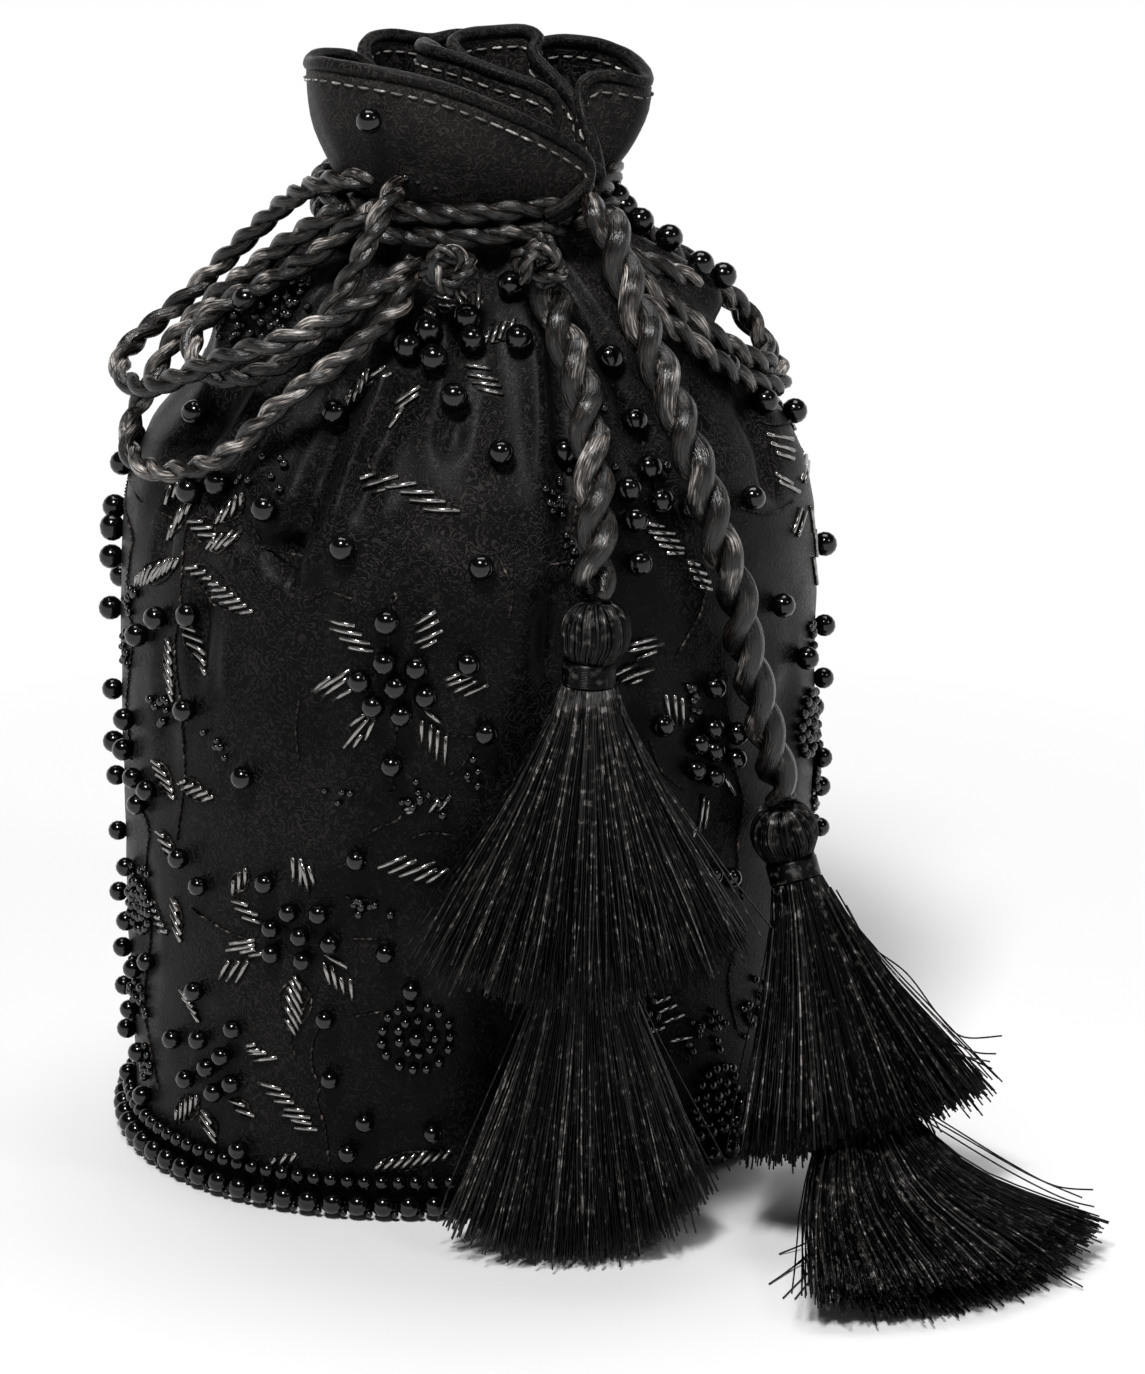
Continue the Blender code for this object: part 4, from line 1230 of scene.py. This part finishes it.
def frill_layer(build, hems, stitches, controls, foot_radius, bulge):
    """A stretch of the frill: cloth from the neck up to a rolled hem, with a row of stitches under the hem."""
    lead = smooth_curve([point for point, _ in controls], 16)
    turns = [degrees for _, degrees in controls]
    unwound = [turns[0]]
    for degrees in turns[1:]:
        step = (degrees - unwound[-1] + 180) % 360 - 180
        unwound.append(unwound[-1] + step)
    feet = smooth_curve([around(math.radians(degrees), foot_radius, FOOT_HEIGHT) for degrees in unwound], 16)
    count = len(lead)
    lengths = [0.0]
    for first, second in zip(lead, lead[1:]):
        lengths.append(lengths[-1] + (second - first).length)
    rows = []
    for row in range(FRILL_ROWS + 1):
        share = row / FRILL_ROWS
        line = []
        for index in range(count):
            foot, rim = feet[index], lead[index]
            flat = Vector((rim.x - 1.5, rim.y, 0))
            outward = flat.normalized() if flat.length > 1 else Vector((0, -1, 0))
            spread = math.sin(math.pi * share / 2)
            point = Vector((mix(foot.x, rim.x, spread), mix(foot.y, rim.y, spread), mix(foot.z, rim.z, share)))
            point += outward * (bulge * math.sin(math.pi * share))
            point += outward * (0.7 * noise.noise(point * 0.11) * math.sin(math.pi * share))
            line.append(point)
        rows.append(line)
    build.add([point for line in rows for point in line], grid_faces(FRILL_ROWS + 1, count, False))
    hem_line = evenly(rows[-1], HEM_STEP)
    add_tube(hems, hem_line, [HEM_RADIUS * (1 + 0.07 * noise.noise(p * 0.35)) for p in hem_line], 10)
    place = FIRST_STITCH
    while place < lengths[-1] - STITCH_LENGTH:
        ends = []
        for distance in (place, place + STITCH_LENGTH):
            index = 0
            while index < count - 2 and lengths[index + 1] < distance:
                index += 1
            left, walked, row = STITCH_DROP, 0.0, FRILL_ROWS
            while row > 1:
                step = (rows[row][index] - rows[row - 1][index]).length
                if walked + step > left:
                    break
                walked += step
                row -= 1
            here = rows[row][index].lerp(rows[row - 1][index], (left - walked) / max(step, 1e-6))
            along = rows[row][min(index + 1, count - 1)] - rows[row][max(index - 1, 0)]
            up = rows[row][index] - rows[row - 1][index]
            ends.append((here, -along.cross(up).normalized()))
        for sign in (1.0, -1.0):
            (a, face_a), (b, face_b) = ends
            lift = FRILL_THICK / 2 + 0.12
            first, last = a + face_a * (lift * sign), b + face_b * (lift * sign)
            middle = first.lerp(last, 0.5) + (face_a + face_b) * (0.12 * sign)
            add_tube(stitches, [first, middle, last], STITCH_RADII, 5, RANDOM.uniform(0.2, 1.0))
        place += STITCH_SPACE


def frill():
    cloth, hems, stitches = Build(), Build(), Build()
    outer = rim_points(OUTER_RIM) + [(Vector(p[:3]), p[3]) for p in OUTER_BACK]
    rims = (outer, rim_points(CENTRE_RIM), rim_points(THIRD_RIM))
    for rim, foot, bulge in zip(rims, (OUTER_FOOT, INNER_FOOT, INNER_FOOT), FRILL_BULGES):
        frill_layer(cloth, hems, stitches, rim, foot, bulge)
    # The frill's cloth takes the satin painted lighter as sheen.
    made = cloth.piece("frill_cloth", FRILL_PAINTED_SHEEN, "black_cloth")
    shell = made.modifiers.new("Cloth", "SOLIDIFY")
    shell.thickness = FRILL_THICK * MM
    shell.offset = 0.0
    hem = hems.piece("frill_hem", HEM_BLACK, "black_cloth")
    sewn = stitches.piece("frill_stitches", STITCH_GREY, "thread")
    button = Build()
    add_ball(button, at_depth(*FLAP_PEARL), PEARL / 2, pole=Vector((1, 0, 0)))
    for x, y in FLAP_SEEDS:
        add_ball(button, at_depth(x, y, FLAP_SEED_DEPTH), SEED_BEAD / 2, 9, 6)
    button.piece("flap_pearl", PEARL_BLACK, "pearl_black")


bag_skin()
inner_bag()
frill()

dress("base_panel", CLOTH_BLACK)
dress("base_board", BOARD)


# Beads


PEARLS_BY_PIXEL = (
    (462, 322), (434, 335), (471, 344), (438, 362), (408, 351), (449, 399), (511, 290), (521, 342),
    (336, 414), (499, 456), (270, 511), (345, 548), (480, 570), (251, 302), (202, 417), (197, 493),
    (223, 485),
    (146, 320), (386, 660), (417, 665), (362, 678), (397, 685), (426, 694), (375, 703), (403, 712),
    (389, 620), (468, 661), (393, 762), (485, 730), (248, 775), (192, 708), (191, 612), (164, 617),
    (146, 634),
    (185, 857), (204, 884), (269, 880), (358, 857), (293, 910), (322, 911), (276, 926), (304, 934),
    (332, 941),
    (276, 952), (306, 958), (387, 950), (412, 988), (200, 989), (238, 1026), (328, 1016), (333, 1076),
    (366, 1119), (350, 1149), (432, 1129), (243, 1147), (179, 1037), (205, 1037), (227, 1053), (213, 1065),
    (192, 1077), (236, 1081), (219, 1090), (123, 443), (118, 466), (113, 508), (102, 527), (116, 529),
    (103, 557), (114, 608), (117, 689), (133, 718), (120, 741), (132, 749), (118, 775), (141, 777),
    (155, 789),
    (145, 803), (125, 830), (133, 866), (127, 891), (134, 920), (131, 946), (154, 961), (140, 967),
    (131, 985),
    (137, 1008), (135, 1027), (146, 1051), (134, 1072), (150, 1094), (634, 204), (656, 216), (675, 233),
    (700, 250), (694, 272), (716, 283), (716, 366), (753, 378), (759, 408), (792, 417), (610, 359),
    (630, 424),
    (565, 455), (641, 472), (625, 492), (653, 502), (630, 520), (685, 507), (745, 500), (835, 544),
    (774, 604),
    (798, 656), (736, 1102), (731, 1118), (728, 1126), (733, 1139), (829, 625), (822, 678), (816, 757),
    (815, 786), (634, 563), (708, 684), (708, 725), (730, 731), (690, 742), (708, 748), (729, 756),
    (688, 768),
    (708, 774), (657, 723), (707, 872), (725, 875),
)


# Bugle beads by the pixels of their two ends: (x, y, x, y)
BUGLES_BY_PIXEL = (
    (327, 619, 356, 625), (332, 628, 363, 634), (341, 637, 371, 643), (350, 646, 374, 651),
    (415, 625, 436, 611), (417, 632, 439, 620), (415, 643, 443, 629), (421, 648, 437, 639),
    (314, 690, 332, 676), (316, 692, 351, 669), (323, 696, 348, 678), (335, 699, 354, 688),
    (444, 680, 462, 672), (446, 685, 472, 676), (454, 691, 477, 680), (464, 694, 488, 684),
    (425, 709, 443, 724), (422, 719, 422, 742), (431, 723, 430, 751), (438, 729, 437, 759),
    (446, 735, 445, 764),
    (366, 713, 352, 724), (369, 717, 345, 747), (375, 718, 366, 739), (362, 734, 355, 746),
    (405, 809, 417, 804), (407, 812, 417, 809),
    (378, 867, 407, 855), (389, 872, 417, 859), (400, 875, 436, 861), (415, 879, 437, 868),
    (427, 881, 449, 868),
    (294, 856, 295, 880), (302, 857, 302, 887), (303, 862, 310, 892), (310, 865, 316, 885),
    (233, 900, 250, 904), (237, 907, 260, 914), (244, 916, 263, 922),
    (232, 943, 257, 939), (228, 950, 257, 944), (242, 952, 257, 948), (251, 955, 266, 952),
    (231, 960, 221, 978), (241, 960, 229, 980), (249, 960, 238, 981),
    (325, 961, 331, 983), (333, 964, 338, 989), (342, 976, 345, 993), (351, 978, 353, 999),
    (326, 953, 348, 967),
    (259, 1082, 283, 1088), (268, 1092, 292, 1095), (276, 1100, 296, 1101), (286, 1108, 306, 1109),
    (284, 1114, 312, 1116), (293, 1119, 313, 1122), (296, 1127, 319, 1128),
    (246, 1046, 257, 1043), (248, 1050, 261, 1049), (251, 1053, 268, 1051), (254, 1060, 279, 1056),
    (182, 989, 189, 999), (185, 997, 195, 1006), (189, 1004, 198, 1013), (194, 1011, 201, 1022),
    (465, 365, 490, 369), (467, 374, 498, 380), (472, 382, 501, 386), (478, 389, 503, 394),
    (395, 403, 421, 387), (396, 410, 420, 394), (390, 428, 405, 408),
    (371, 378, 386, 366), (369, 385, 392, 373),
    (360, 478, 377, 474), (362, 487, 399, 476), (374, 493, 397, 485), (386, 488, 417, 483),
    (401, 492, 435, 492), (410, 500, 446, 501), (424, 509, 460, 510),
    (647, 524, 662, 527), (647, 532, 673, 534), (652, 538, 676, 541), (657, 545, 681, 548),
    (665, 553, 681, 553),
    (626, 645, 655, 637), (623, 651, 662, 643), (636, 658, 655, 650), (613, 674, 636, 664),
    (615, 682, 652, 668),
    (626, 684, 641, 678), (665, 694, 668, 721), (673, 694, 675, 723), (681, 697, 681, 726),
    (694, 826, 689, 842), (702, 794, 697, 831), (707, 799, 703, 828), (723, 778, 733, 794),
    (765, 435, 791, 440), (769, 444, 792, 451), (773, 453, 792, 459), (773, 474, 790, 484),
    (777, 482, 797, 492),
    (799, 479, 805, 456), (803, 482, 809, 462), (791, 532, 799, 508), (796, 536, 804, 512),
    (809, 506, 812, 532),
    (813, 530, 815, 556), (812, 558, 815, 584), (650, 1003, 668, 996), (654, 1012, 674, 1004),
    (660, 1022, 682, 1014),
    (668, 1040, 690, 1036), (646, 1032, 662, 1026),
)
# Leaves worked in bugles and stitched outlines: (x, y) at the stalk and at the tip, width in mm
LEAVES_BY_PIXEL = (
    (166, 499, 184, 482, 1.8), (194, 505, 168, 536, 2.2), (194, 519, 217, 547, 2.2),
    (219, 519, 245, 498, 2.0),
    (210, 544, 241, 537, 2.0), (180, 562, 137, 581, 2.4), (191, 565, 254, 614, 3.0),
    (171, 640, 173, 700, 2.2),
    (187, 624, 205, 676, 2.2), (434, 325, 428, 306, 1.5), (450, 310, 440, 293, 1.4),
    (461, 308, 460, 286, 1.4),
    (470, 310, 482, 292, 1.5), (484, 338, 517, 324, 1.6), (346, 402, 372, 372, 1.8),
    (300, 978, 292, 1031, 3.4),
    (200, 1099, 176, 1118, 2.4), (208, 1112, 213, 1140, 2.4), (236, 1098, 252, 1118, 1.8),
    (150, 900, 168, 935, 2.4),
    (176, 900, 180, 940, 2.0), (232, 889, 250, 872, 1.8), (430, 806, 452, 800, 1.4),
    (375, 1165, 452, 1152, 2.0),
    (270, 1163, 300, 1156, 1.6), (812, 395, 818, 428, 1.8), (690, 560, 706, 592, 2.2),
    (156, 760, 174, 800, 2.2),
    (182, 780, 214, 800, 2.2), (160, 830, 180, 866, 2.0),
)
# Stitched stems by pixel
STEMS_BY_PIXEL = (
    ((190, 520), (184, 560), (182, 610), (176, 650), (182, 708), (186, 780), (178, 840)),
    ((319, 985), (308, 1001), (294, 1030), (292, 1041), (297, 1056)),
    ((319, 1027), (313, 1044), (313, 1068), (321, 1086), (317, 1100), (325, 1121), (328, 1143), (330, 1163)),
    ((192, 908), (209, 920), (228, 931), (244, 937)),
    ((353, 938), (380, 938)), ((355, 1016), (366, 1014), (381, 1011)),
    ((389, 633), (389, 655)), ((398, 724), (395, 748)),
    ((393, 603), (398, 594), (393, 592), (391, 600), (396, 612)),
    ((431, 724), (450, 735), (462, 736), (478, 738), (470, 752), (460, 768), (448, 774)),
    ((385, 768), (392, 780), (396, 790), (388, 792)),
    ((326, 873), (340, 866), (352, 862)), ((345, 895), (362, 902), (368, 896), (372, 908), (360, 914)),
    ((366, 835), (380, 826), (398, 820), (404, 808)), ((410, 838), (430, 832), (450, 834)),
    ((284, 560), (288, 590)), ((572, 470), (576, 500), (570, 540), (562, 560)),
    ((543, 1000), (548, 1010)), ((704, 590), (700, 612), (686, 636), (674, 660)),
    ((640, 440), (652, 470), (650, 510)), ((740, 508), (768, 514), (794, 500)),
    ((755, 420), (772, 425), (790, 420)),
    ((130, 470), (140, 500), (134, 540), (128, 590), (134, 640), (128, 700), (132, 760)),
    ((138, 800), (150, 830), (146, 880), (152, 930), (146, 990), (150, 1040), (160, 1090)),
    ((250, 520), (262, 540)), ((352, 598), (330, 590), (310, 600)), ((372, 470), (368, 458), (374, 452)),
    ((300, 700), (296, 730), (300, 760)), ((500, 560), (512, 590), (508, 620)),
    ((648, 740), (660, 770), (684, 790)), ((730, 760), (742, 800), (736, 850), (742, 900)),
    ((640, 1060), (668, 1050), (690, 1062)), ((740, 930), (728, 980), (736, 1030)),
)
# Seed-bead rosettes by pixel: (x, y, share of full size)
ROSETTES_BY_PIXEL = ((417, 1036, 1.0), (806, 722, 0.9), (712, 1094, 0.9), (280, 312, 0.7), (143, 905, 0.7))
# Scatter of seed beads by pixel: (x, y, spread in mm, how many)
SEEDS_BY_PIXEL = (
    (420, 804, 5, 12), (355, 910, 4, 8), (222, 745, 4, 5), (300, 310, 7, 16), (240, 330, 5, 10),
    (265, 470, 6, 12),
    (160, 700, 4, 8), (134, 600, 5, 10), (128, 660, 5, 10), (140, 880, 6, 16), (142, 1000, 6, 14),
    (150, 1060, 5, 12),
    (590, 480, 5, 14), (580, 560, 4, 8), (552, 500, 4, 10), (600, 430, 4, 8), (690, 480, 5, 8),
    (690, 700, 5, 10),
    (745, 1010, 6, 14), (660, 960, 6, 16), (640, 1010, 6, 14), (720, 930, 5, 10), (700, 1040, 6, 16),
    (728, 1120, 4, 8), (808, 640, 4, 8), (814, 800, 4, 10), (805, 860, 4, 10), (345, 800, 3, 4),
    (476, 770, 3, 5),
)
# Motifs on the side and back that the photograph doesn't show: (degrees, height, turn in degrees)
HIDDEN_FLOWERS = (
    (28, 92, 10), (64, 42, 35), (84, 108, 0), (118, 66, 20), (148, 104, 45), (160, 34, 5), (10, 34, 50),
)
HIDDEN_ROSETTES = ((46, 66), (100, 34), (132, 96), (22, 128), (70, 140), (172, 66), (140, 12), (6, 70))
HIDDEN_PEARLS = (
    (5, 56), (14, 78), (16, 112), (20, 60), (24, 20), (38, 30), (40, 112), (44, 134), (48, 92), (52, 22),
    (58, 76),
    (62, 124), (76, 70), (80, 20), (86, 56), (92, 86), (98, 130), (104, 112), (106, 50), (112, 24),
    (124, 120),
    (126, 40), (134, 60), (140, 134), (142, 80), (146, 46), (156, 76), (158, 124), (166, 90), (168, 16),
    (174, 110),
    (34, 148), (58, 152), (88, 150), (114, 148), (150, 148), (176, 140), (128, 16), (92, 12), (34, 58),
)
HIDDEN_STEMS = (
    ((28, 78), (32, 60), (30, 44), (38, 34)), ((64, 56), (60, 74), (66, 92), (80, 98)),
    ((118, 80), (112, 96), (100, 104), (96, 122)), ((148, 90), (152, 72), (146, 56), (154, 44)),
    ((12, 48), (16, 64), (10, 84), (18, 104)), ((84, 122), (78, 134), (70, 140)),
    ((104, 40), (96, 52), (86, 60), (74, 52)), ((130, 104), (126, 118), (132, 132)),
)
# The pearls are graded: smaller towards the foot. (height, size)
PEARL_BY_HEIGHT = ((0.0, 4.1), (55.0, 4.0), (95.0, 4.6), (135.0, 5.1), (165.0, 5.5))
ROSETTE_RINGS = ((3.7, 9), (7.0, 15))
FLOWER_RING = 5.6
PETALS = 6
LEAF_COS = math.cos(math.radians(38))
LEAF_SIN = math.sin(math.radians(38))


def spot(place, across, up):
    """The place on the wall that lies across and up in mm from another, seen from outside."""
    height, angle = place
    return min(max(height + up, 5.0), 196.0), angle + across / max(mean_radius(min(max(height, 3), 180)), 20)


def bead_at(build, place, size):
    centre, outward = cloth_point(*place, size * 0.4)
    small = size < 3
    segments, rings = (9, 6) if small else (14, 9)
    add_ball(build, centre, size / 2, segments, rings, pole=outward.cross(Vector((0.3, 0.2, 1))))


def bugle_at(build, start, end):
    middle = ((start[0] + end[0]) / 2, (start[1] + end[1]) / 2)
    line = [cloth_point(*place, BUGLE_WIDTH * 0.45)[0] for place in (start, middle, end)]
    line[1] = line[1].lerp((line[0] + line[2]) / 2, 0.6)
    add_tube(build, line, BUGLE_WIDTH / 2, 7)


def stem_on(build, places, width=0.3):
    """A stitched stem: short stitches end to end, laid along a curve on the cloth."""
    curve = smooth_curve([Vector((height, math.degrees(angle), 0)) for height, angle in places], 10)
    line = [cloth_point(point.x, math.radians(point.y), 0.12)[0] for point in curve]
    line = evenly(line, 1.5)
    for first, second in zip(line, line[1:]):
        rise = first.lerp(second, 0.5)
        flat = Vector((rise.x, rise.y, 0)).normalized()
        radii = [width * 0.5, width, width * 0.5]
        add_tube(build, [first, rise + flat * 0.22, second], radii, 5, RANDOM.uniform(0.1, 0.9))


def leaf_on(bugles, stems, stalk, tip, width):
    """A leaf: two stitched edges, with short bugles laid aslant inside it."""
    radius = mean_radius(stalk[0])
    run_across, run_up = (tip[1] - stalk[1]) * radius, tip[0] - stalk[0]
    length = math.hypot(run_across, run_up)
    along = (run_across / length, run_up / length)
    for side in (-1, 1):
        edge = []
        for step in range(6):
            share = step / 5
            out = side * width * math.sin(math.pi * share ** 0.8)
            edge.append(spot(stalk, run_across * share - along[1] * out, run_up * share + along[0] * out))
        stem_on(stems, edge, 0.24)
    count = max(2, round(length / 2.0))
    for step in range(count):
        share = (step + 0.4) / count
        x, y = run_across * share, run_up * share
        half = 1.1 + width * 0.6 * math.sin(math.pi * share)
        lean = (
            along[0] * LEAF_COS - along[1] * LEAF_SIN,
            along[0] * LEAF_SIN + along[1] * LEAF_COS,
        )
        start = spot(stalk, x - lean[0] * half, y - lean[1] * half)
        end = spot(stalk, x + lean[0] * half, y + lean[1] * half)
        bugle_at(bugles, start, end)


def rosette_on(seeds, pearls, place, share):
    bead_at(pearls, place, 3.2 * share)
    for reach, count in ROSETTE_RINGS:
        for step in range(count):
            turn = 2 * math.pi * (step + RANDOM.uniform(-0.12, 0.12)) / count
            out = reach * share * (1 + RANDOM.uniform(-0.05, 0.05))
            size = 2.1 * RANDOM.uniform(0.92, 1.08)
            bead_at(seeds, spot(place, out * math.cos(turn), out * math.sin(turn)), size)


def flower_on(pearls, bugles, stems, place, turned):
    """Seven pearls, with fans of bugles round them."""
    bead_at(pearls, place, 4.4)
    for petal in range(PETALS):
        turn = math.radians(turned) + 2 * math.pi * petal / PETALS
        out = (math.cos(turn), math.sin(turn))
        bead_at(pearls, spot(place, out[0] * FLOWER_RING, out[1] * FLOWER_RING), 4.8)
        fan = turn + math.pi / PETALS
        lean = fan + math.radians(34)
        for step in range(4):
            reach = 9.0 + 2.0 * step
            aside = 1.2 * (step - 1.5)
            x = reach * math.cos(fan) - aside * math.sin(fan)
            y = reach * math.sin(fan) + aside * math.cos(fan)
            half = 3.0 if step in (1, 2) else 2.3
            bugle_at(
                bugles,
                spot(place, x - half * math.cos(lean), y - half * math.sin(lean)),
                spot(place, x + half * math.cos(lean), y + half * math.sin(lean)),
            )


def hidden(degrees, height):
    return float(height), math.radians(degrees)


def wall_beads():
    pearls, seeds, bugles, stems = Build(), Build(), Build(), Build()
    for x, y in PEARLS_BY_PIXEL:
        place = on_cloth(x, y)
        bead_at(pearls, place, read_shape(PEARL_BY_HEIGHT, place[0]) * RANDOM.uniform(0.96, 1.03))
    for x, y, next_x, next_y in BUGLES_BY_PIXEL:
        bugle_at(bugles, on_cloth(x, y), on_cloth(next_x, next_y))
    for x, y, tip_x, tip_y, width in LEAVES_BY_PIXEL:
        leaf_on(bugles, stems, on_cloth(x, y), on_cloth(tip_x, tip_y), width)
    for pixels in STEMS_BY_PIXEL:
        stem_on(stems, [on_cloth(*pixel) for pixel in pixels])
    for x, y, share in ROSETTES_BY_PIXEL:
        rosette_on(seeds, pearls, on_cloth(x, y), share)
    for x, y, spread, count in SEEDS_BY_PIXEL:
        middle = on_cloth(x, y)
        for _ in range(count):
            place = spot(middle, RANDOM.gauss(0, spread / 2), RANDOM.gauss(0, spread / 2))
            bead_at(seeds, place, SEED_BEAD * RANDOM.uniform(0.7, 1.0))
    for degrees, height, turned in HIDDEN_FLOWERS:
        flower_on(pearls, bugles, stems, hidden(degrees, height), turned)
    for degrees, height in HIDDEN_ROSETTES:
        rosette_on(seeds, pearls, hidden(degrees, height), RANDOM.uniform(0.8, 1.0))
    for degrees, height in HIDDEN_PEARLS:
        bead_at(pearls, hidden(degrees, height), read_shape(PEARL_BY_HEIGHT, height))
        if height > 24 and height < 140:
            turn = RANDOM.uniform(0, 6.28)
            place = spot(hidden(degrees, height), 4.5 * math.cos(turn), 4.5 * math.sin(turn))
            leaf_on(bugles, stems, place, spot(place, 8 * math.cos(turn), 8 * math.sin(turn)), 2.2)
    for places in HIDDEN_STEMS:
        stem_on(stems, [hidden(*place) for place in places])
    pearls.piece("wall_pearls", PEARL_BLACK, "pearl_black")
    seeds.piece("wall_seeds", SEED_BLACK, "pearl_black")
    bugles.piece("wall_bugles", BUGLE_GREY, "pearl_black")
    stems.piece("wall_stems", STEM_BLACK, "thread")


# The two rows round the base: height, mm out, spacing and radius of the beads
BASE_PEARLS = (2.9, PEARL / 2 + GAP, PEARL + 0.05, 2.3)
BASE_SEEDS = (7.4, 1.3, 3.4, 1.6)
BETWEEN_RADIUS = 0.75


def places_round_base(height, out, spacing):
    """Places evenly round the base, each with the step to the next."""
    fine = [beside_bag(step * 0.5, height, out) for step in range(721)]
    length = line_length(fine)
    places = evenly(fine, length / round(length / spacing))[:-1]
    return [(point, places[(index + 1) % len(places)] - point) for index, point in enumerate(places)]


def base_rows():
    """The row of pearls with small beads between them, and the row of seed beads above it."""
    pearls, seeds = Build(), Build()
    *row, radius = BASE_PEARLS
    for point, along in places_round_base(*row):
        add_ball(pearls, point, radius, pole=along)
        outward = Vector((point.x, point.y, 0)).normalized()
        between = point + along / 2 + outward * 0.9 - Vector((0, 0, 1.5))
        add_ball(pearls, between, BETWEEN_RADIUS, 8, 6, pole=along)
    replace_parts(pearls.piece("base_pearls", PEARL_BLACK, "pearl_black"), "base_pearl_strand")
    *row, radius = BASE_SEEDS
    for point, along in places_round_base(*row):
        add_ball(seeds, point, radius, 10, 7, pole=along)
    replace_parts(seeds.piece("base_seeds", PEARL_BLACK, "pearl_black"), "base_seed_strand")


wall_beads()
base_rows()
